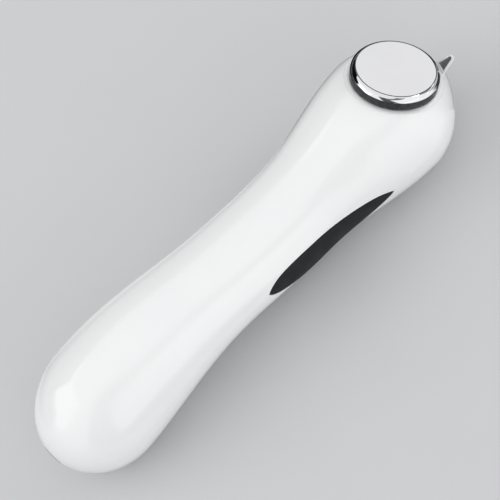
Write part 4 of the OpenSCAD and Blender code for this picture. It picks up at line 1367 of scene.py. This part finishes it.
@dataclass
class ControlPanel:
    """The oval panel on the back of the waist, with two buttons and three light pipes."""

    form: BodyForm
    x: float = 112.0
    length: float = 50.0
    width: float = 16.0
    thick: float = 0.8
    button_diameter: float = 9.0
    button_proud: float = 0.7
    button_gap: float = 0.25
    button_edge: float = 0.5
    dish: float = 0.25
    dish_margin: float = 0.9
    stem: float = 1.6
    flange: float = 0.8
    flange_extra: float = 1.0
    flange_edge: float = 0.15
    flange_room: float = 6.0
    light_diameter: float = 2.4
    light_dome: float = 0.25
    light_flange: tuple[float, float] = (0.5, 1.0)
    button_stations: tuple[float, float] = (102.0, 117.0)
    light_stations: tuple[float, float, float] = (125.0, 128.6, 132.2)
    switch_top: float = -12.0
    light_top: float = -8.6
    below: float = -25.0
    shell_holes_top: float = -10.5
    own_holes_top: float = -10.0
    along: int = 96
    across: int = 28

    def back(self, x: float, inset: float = 0.0) -> float:
        """Height of the back surface in the middle plane at station x."""
        return float(self.form.wall_height(np.array(x), np.array(0.0), Side.BACK, inset))

    def loops(self, grown: float, outer: float, inner: float, edge: float) -> np.ndarray:
        """Closed loops round the oval, from end to end.

        Args:
            grown: How far the outline is moved out.
            outer: Height of the outer surface over the body.
            inner: Depth of the inner surface.
            edge: How far the outer surface falls at its edge, with the tenth power of the distance.

        Returns:
            Points in rows along the panel. Its half width is a sine to the power 0.7.
        """
        q = np.linspace(0.0, np.pi, self.along + 1)[:, None]
        x = self.x - (self.length / 2 + grown) * np.cos(q)
        half = (self.width / 2 + grown) * np.clip(np.sin(q), 0.0, None) ** 0.7
        v = edge_to_edge(self.across)
        y = half * v
        x = np.broadcast_to(x, y.shape)
        rim = np.maximum(np.abs(v), np.abs(np.cos(q)))
        back = self.form.wall_height(x, y, Side.BACK)
        top, bottom = (np.stack([x, y, z], axis=-1) for z in (back - outer + edge * rim**10, back + inner))
        return np.concatenate([top, bottom[:, ::-1]], axis=1)

    def recess(self, fit: float) -> Sheet:
        """The cutter of the panel's recess."""
        return Sheet(self.loops(fit, 3.0, self.thick + fit / 2, 0.0))

    def bars(self, stations: tuple[float, ...], radius: float, low: float, high: float) -> list[Sheet]:
        """Plain upright bars at stations, used as cutters."""
        return [upright(plain_bar(radius, low, high, 72), (x, 0.0, 0.0)) for x in stations]

    def seat(self, x: float) -> float:
        """Height of the inner seat on which the flange of a button rests."""
        return self.back(x, self.form.wall) + 0.25

    def shell_holes(self, fit: float) -> list[Sheet]:
        """The cutters of the buttons, their flanges and the light pipes in the shell."""
        radius, low, high = self.button_diameter / 2 + self.button_gap, self.below, self.shell_holes_top
        holes = self.bars(self.button_stations, radius, low, high)
        for x in self.button_stations:
            seat = self.seat(x)
            holes += self.bars((x,), radius + self.flange_extra, seat, seat + self.flange_room)
        return holes + self.bars(self.light_stations, (self.light_diameter + fit) / 2, low, high)

    def button(self, x: float) -> Sheet:
        """One button: a dished cap with a rounded edge, its flange and its stem.

        Args:
            x: Station of the button.

        Returns:
            The sheet. The dish is a cosine bowl.
        """
        radius, cap, seat = self.button_diameter / 2, self.back(x) - self.button_proud, self.seat(x) + 0.05
        edge, corner = self.button_edge, self.flange_edge
        flange, top = radius + self.flange_extra, seat + self.flange
        r = np.linspace(0.0, radius - self.dish_margin, 18)
        dish = cap + self.dish * (0.5 + 0.5 * np.cos(np.pi * r / r[-1]))
        profile = [
            *zip(r, dish), *arc((radius - edge, cap + edge), edge, -90, 0, 8),
            (radius, seat), *arc((flange - corner, seat + corner), corner, -90, 0, 3), (flange, top),
            (self.stem, top), (self.stem, self.switch_top), (0.0, self.switch_top),
        ]
        return upright(lathe(profile, 96), (x, 0.0, 0.0))

    def light_pipe(self, x: float) -> Sheet:
        """One light pipe: a low dome at the back, a flange and a shaft to the light."""
        radius, low, seat, rise = self.light_diameter / 2, self.back(x) + 0.1, self.seat(x), self.light_dome
        wide, top = radius + self.light_flange[0], seat + self.light_flange[1]
        turns = np.linspace(0.0, np.pi / 2, 8)
        profile = [
            *((radius * math.sin(t), low + rise - rise * math.cos(t)) for t in turns), (radius, seat),
            (wide, seat), (wide, top), (radius, top), (radius, self.light_top), (0.0, self.light_top),
        ]
        return upright(lathe(profile, 40), (x, 0.0, 0.0))

    def build(self) -> None:
        """Builds and dresses the panel, the buttons and the light pipes."""
        low, high = self.below, self.own_holes_top
        holes = self.bars(self.button_stations, self.button_diameter / 2 + self.button_gap, low, high)
        holes += self.bars(self.light_stations, self.light_diameter / 2 + 0.1, low, high)
        mesh = carve(mesh_of("control_panel", [Sheet(self.loops(0.0, 0.0, self.thick, 0.25))]), holes)
        finish_piece("control_panel_moulding", mesh, [PANEL_GREY], "panel_grey", "control_panel")
        for name, x in zip(("power_button", "mode_button"), self.button_stations):
            mesh = mesh_of(name, [self.button(x)])
            finish_piece(f"{name}_cap", mesh, [BUTTON_WHITE], "button_white", name, body=name)
        mesh = mesh_of("light_pipes", [self.light_pipe(x) for x in self.light_stations])
        finish_piece("light_pipes_clear", mesh, [LIGHT_PIPE], "light_pipe", "light_pipes")


@dataclass
class TailSocket:
    """The trim ring round the charging socket."""

    form: BodyForm
    diameter: float = 8.4
    hole: float = 3.6
    front: float = 0.25
    thick: float = 0.95
    edge: float = 0.3

    def build(self) -> None:
        """Builds the trim ring, with a chamfered mouth that leads the plug in."""
        outer, hole, edge = self.diameter / 2, self.hole / 2, self.edge
        profile = [
            *arc((outer - edge, edge), edge, 0, -90, 5)[::-1], (outer, self.thick), (hole, self.thick),
            (hole, 0.45), (hole + 0.4, 0.06), (hole + 0.55, 0.0),
        ]
        ring = lengthwise(lathe(profile, 96, closed=True), (self.front, 0.0, self.form.socket_z))
        mesh = mesh_of("jack_bezel", [ring])
        finish_piece("jack_bezel_ring", mesh, [BEZEL_GREY], "bezel_grey", "jack_bezel", sharp=30.0)


@dataclass
class ScrewCaps:
    """The soft caps that close the screw holes on the back."""

    form: BodyForm
    radius: float = 2.4
    inset: float = 0.1
    head: float = 2.1
    dimple: float = 0.3
    dimple_radius: float = 0.9

    def cap(self, x: float, y: float) -> Sheet:
        """One cap: its outer end follows the back of the body, with a shallow dimple.

        Args:
            x: Station of the cap.
            y: Side distance of the cap.

        Returns:
            The sheet, in rings from the middle of the outer end to the middle of the inner one.
        """
        radius, a = self.radius, round_turn(48)
        r = np.array([*np.linspace(0.0, radius - 0.25, 12), radius - 0.1, radius, radius, 0.0])[:, None]
        px, py = x + r * np.cos(a), y + r * np.sin(a)
        z = self.form.wall_height(px, py, Side.BACK, self.inset)
        dimple = self.dimple * np.clip(1 - (r / self.dimple_radius) ** 2, 0, None) ** 2
        edge = np.zeros_like(r)
        edge[-4:-2] = [[0.06], [0.2]]
        z = z + dimple + edge
        z[-2:] = float(self.form.spine(x)) - self.form.screw_depth - self.head
        return Sheet(np.stack([px, py, z], axis=-1))

    def build(self) -> None:
        """Builds and dresses the four caps."""
        mesh = mesh_of("screw_caps", [self.cap(x, y) for x, y in self.form.screws])
        finish_piece("screw_caps_soft", mesh, [CAP_WHITE], "cap_white", "screw_caps")


@dataclass
class Innards:
    """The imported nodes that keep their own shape, dressed one by one."""

    nodes: dict[str, bpy.types.Object]

    def build(self) -> None:
        """Gives every shown node its finish: its own, one that it shares, or the screws' steel."""
        finishes = [
            (finish, (name, *SHARED_FINISHES.get(name, ()))) for name, finish in INNER_FINISHES.items()
        ]
        screws = [name for name in self.nodes if name.endswith("_screws")]
        finishes.append((SCREW_STEEL, (*screws, "motor_shaft")))
        dressed = []
        for finish, names in finishes:
            material = material_of(finish)
            for name in names:
                node = self.nodes.get(name)
                if node is None or node.hide_render:
                    continue
                node.data.materials.clear()
                node.data.materials.append(material)
                dressed.append(name)
        missing = sorted(n for n, o in self.nodes.items() if not o.hide_render and n not in dressed)
        log.info("dressed %d packed nodes, left out %s", len(dressed), missing)


# Studio


@dataclass(frozen=True)
class Softbox:
    """A square lamp that looks at the head of the massager."""

    azimuth: float
    elevation: float
    distance: float
    size: float
    radiance: float


@dataclass(frozen=True)
class Flag:
    """A card that only mirrors see, over a range of directions from the head."""

    azimuths: tuple[float, float]
    elevations: tuple[float, float]
    level: float


@dataclass
class Studio:
    """Pale floor, soft lamps, cards for the mirror rim, and the camera."""

    elevation: float = 58.9
    distance: float = 1400.0
    pixel: float = 0.3455
    pixels: int = 500
    aim: Point = (98.8, 0.3, 0.18)
    head: Point = (177.5, 0.0, 16.0)
    floor_colour: Colour = (0.6, 0.605, 0.615)
    even_level: float = 0.8
    mirror_level: float = 0.9
    boxes: tuple[Softbox, ...] = (
        Softbox(150.0, 38.0, 1.6, 1.5, 1.0),
        Softbox(-85.0, 12.0, 1.6, 1.3, 1.2),
        Softbox(-12.0, 12.0, 1.6, 1.3, 1.3),
    )
    flags: tuple[Flag, ...] = (
        Flag((66.0, 134.0), (-64.0, 40.0), 0.004),
        Flag((134.0, 158.0), (-12.0, 18.0), 0.15),
        Flag((-152.0, -119.0), (-20.0, 60.0), 0.1),
        Flag((-118.0, -32.0), (-40.0, 42.0), 1.05),
        Flag((-118.0, -45.0), (43.0, 58.0), 0.2),
        Flag((-30.0, -4.0), (-10.0, 24.0), 0.3),
        Flag((-40.0, 20.0), (-75.0, -22.0), 0.05),
        Flag((-180.0, -154.0), (-5.0, 75.0), 1.0),
        Flag((95.0, 180.0), (46.0, 78.0), 1.0),
        Flag((20.0, 66.0), (-62.0, -14.0), 0.01),
    )
    flag_distance: float = 1.0
    flag_steps: tuple[int, int] = (15, 25)
    flag_lift: float = 0.0004
    lowest_above: float = 1.0
    highest_below: float = -1.5
    floor_size: float = 4.0

    def centre(self) -> Vector:
        """The head of the massager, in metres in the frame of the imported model."""
        return Vector((np.array(self.head) - ORIGIN) / MM_PER_M)

    def facing(self, box: Softbox) -> Matrix:
        """Place of a softbox, with its -Z axis toward the head."""
        a, e = math.radians(box.azimuth), math.radians(box.elevation)
        out = Vector((math.cos(e) * math.cos(a), math.cos(e) * math.sin(a), math.sin(e)))
        turn = out.to_track_quat("Z", "Y").to_matrix().to_4x4()
        return Matrix.Translation(self.centre() + out * box.distance) @ turn

    def camera(self) -> None:
        """Sets the camera at the photograph's angle, turned so that the body lies on the diagonal."""
        e = math.radians(self.elevation)
        back, side = Vector((0.0, -math.cos(e), math.sin(e))), Vector((1.0, 0.0, 0.0))
        level_up = Vector((0.0, math.sin(e), math.cos(e)))
        right, up = (side - level_up) / math.sqrt(2), (side + level_up) / math.sqrt(2)
        target = Vector((np.array(self.aim) - ORIGIN) / MM_PER_M)
        data = bpy.data.cameras.new("camera")
        data.sensor_width = 36.0
        data.lens = data.sensor_width * self.distance / (self.pixel * self.pixels)
        data.clip_start, data.clip_end = 0.01, 50.0
        camera = add_object("camera", data)
        place = Matrix((right, up, back)).transposed().to_4x4()
        camera.matrix_world = Matrix.Translation(target + back * self.distance / MM_PER_M) @ place
        bpy.context.scene.camera = camera

    def floor(self) -> None:
        """Lays a wide plain floor under the object."""
        far, colour = self.floor_size, self.floor_colour
        mesh = bpy.data.meshes.new("floor")
        mesh.from_pydata([(-far, -far, 0), (far, -far, 0), (far, far, 0), (-far, far, 0)], [], [(0, 1, 2, 3)])
        shade = tuple(0.985 * c for c in colour)
        finish = Finish("floor_paper", colour, shade, (0.7, 0.8), 60.0, 0.6, 0.01, specular=0.0)
        mesh.materials.append(material_of(finish))
        floor = add_object("floor", mesh)

    def world(self) -> None:
        """Lights the object evenly, and shows mirrors a brighter room and the camera a plain backdrop."""
        world = bpy.data.worlds.new("studio")
        world.use_nodes = True
        tree = world.node_tree
        tree.nodes.clear()
        rays = tree.nodes.new("ShaderNodeLightPath")
        shown: Socket | None = None
        white = (1.0, 1.0, 1.0)
        for ray, colour, strength in (
            ("", white, self.even_level),
            ("Is Glossy Ray", white, self.mirror_level),
            ("Is Transmission Ray", white, self.mirror_level),
            ("Is Camera Ray", self.floor_colour, 1.0),
        ):
            part = tree.nodes.new("ShaderNodeBackground")
            set_inputs(part, Color=(*colour, 1.0), Strength=strength)
            if shown is None:
                shown = part.outputs["Background"]
                continue
            choose = tree.nodes.new("ShaderNodeMixShader")
            tree.links.new(rays.outputs[ray], choose.inputs["Fac"])
            tree.links.new(shown, choose.inputs[1])
            tree.links.new(part.outputs["Background"], choose.inputs[2])
            shown = choose.outputs["Shader"]
        output = tree.nodes.new("ShaderNodeOutputWorld")
        tree.links.new(shown, output.inputs["Surface"])
        bpy.context.scene.world = world

    def lamps(self) -> None:
        """Hangs the softboxes."""
        for number, box in enumerate(self.boxes):
            data = bpy.data.lights.new(f"softbox_{number}", "AREA")
            data.shape, data.size = "SQUARE", box.size
            data.energy = box.radiance * math.pi * box.size**2
            lamp = add_object(data.name, data)
            lamp.matrix_world = self.facing(box)
            lamp.visible_camera = False

    def card_points(self, flag: Flag) -> list[np.ndarray]:
        """The places of a flag: a patch of a sphere round the head, and a patch of the floor.

        Args:
            flag: The flag. Its directions above the floor lie on the sphere. Those below meet the
                floor at the head's height over the tangent of their angle.

        Returns:
            One or two grids of points in metres.
        """
        low, high = flag.elevations
        rows, columns = self.flag_steps
        a = np.radians(np.linspace(*flag.azimuths, columns))[None, :]
        centre, grids = np.array(self.centre()), []
        if high > 0:
            e = np.radians(np.linspace(max(low, self.lowest_above), high, rows))[:, None]
            around = np.stack([np.cos(e) * np.cos(a), np.cos(e) * np.sin(a), np.sin(e) + 0 * a], axis=-1)
            grids.append(centre + self.flag_distance * around)
        if low < 0:
            e = np.radians(np.linspace(low, min(high, self.highest_below), rows))[:, None]
            away = (centre[2] - self.flag_lift) / np.tan(-e)
            flat = np.stack([away * np.cos(a), away * np.sin(a), 0 * away * a], axis=-1)
            grids.append(np.array([centre[0], centre[1], self.flag_lift]) + flat)
        return grids

    def cards(self) -> None:
        """Sets up the flags, seen by glossy rays alone."""
        for number, flag in enumerate(self.flags):
            glow = Recipe(f"flag_{number}")
            glow.set(Base_Color=(0.0, 0.0, 0.0, 1.0), Roughness=1.0, Specular_IOR_Level=0.0)
            glow.set(Emission_Strength=1.0)
            patches = glow.level(glow.noise(200.0), 0.0, 1.0)
            glow.link(glow.blend(patches, (flag.level,) * 3, (0.96 * flag.level,) * 3), "Emission Color")
            for part, grid in enumerate(self.card_points(flag)):
                sheet = Sheet(grid, wrap_columns=False)
                mesh = bpy.data.meshes.new(f"flag_{number}_{part}")
                mesh.from_pydata(grid.reshape(-1, 3).tolist(), [], sheet.faces()[0].tolist())
                mesh.materials.append(glow.material)
                card = add_object(mesh.name, mesh)
                card.visible_camera = card.visible_diffuse = False
                card.visible_shadow = card.visible_transmission = False

    def build(self) -> None:
        """Sets the whole studio, with plain colour management."""
        bpy.context.scene.view_settings.view_transform = "Standard"
        self.camera()
        self.floor()
        self.world()
        self.lamps()
        self.cards()


def main() -> None:
    """Builds the sub-assemblies in order."""
    logging.basicConfig(level=logging.INFO, format="%(name)s %(message)s")
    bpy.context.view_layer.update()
    form, facet = BodyForm(), Facet()
    inlay, panel = GripInlay(form), ControlPanel(form)
    Housing(form, facet, inlay, panel).build()
    inlay.build()
    TreatmentPlate(form, facet).build()
    CottonRing(facet).build()
    panel.build()
    TailSocket(form).build()
    ScrewCaps(form).build()
    Innards(frame["nodes"]).build()
    Studio().build()
    bpy.context.view_layer.update()


if __name__ == "__main__":
    main()
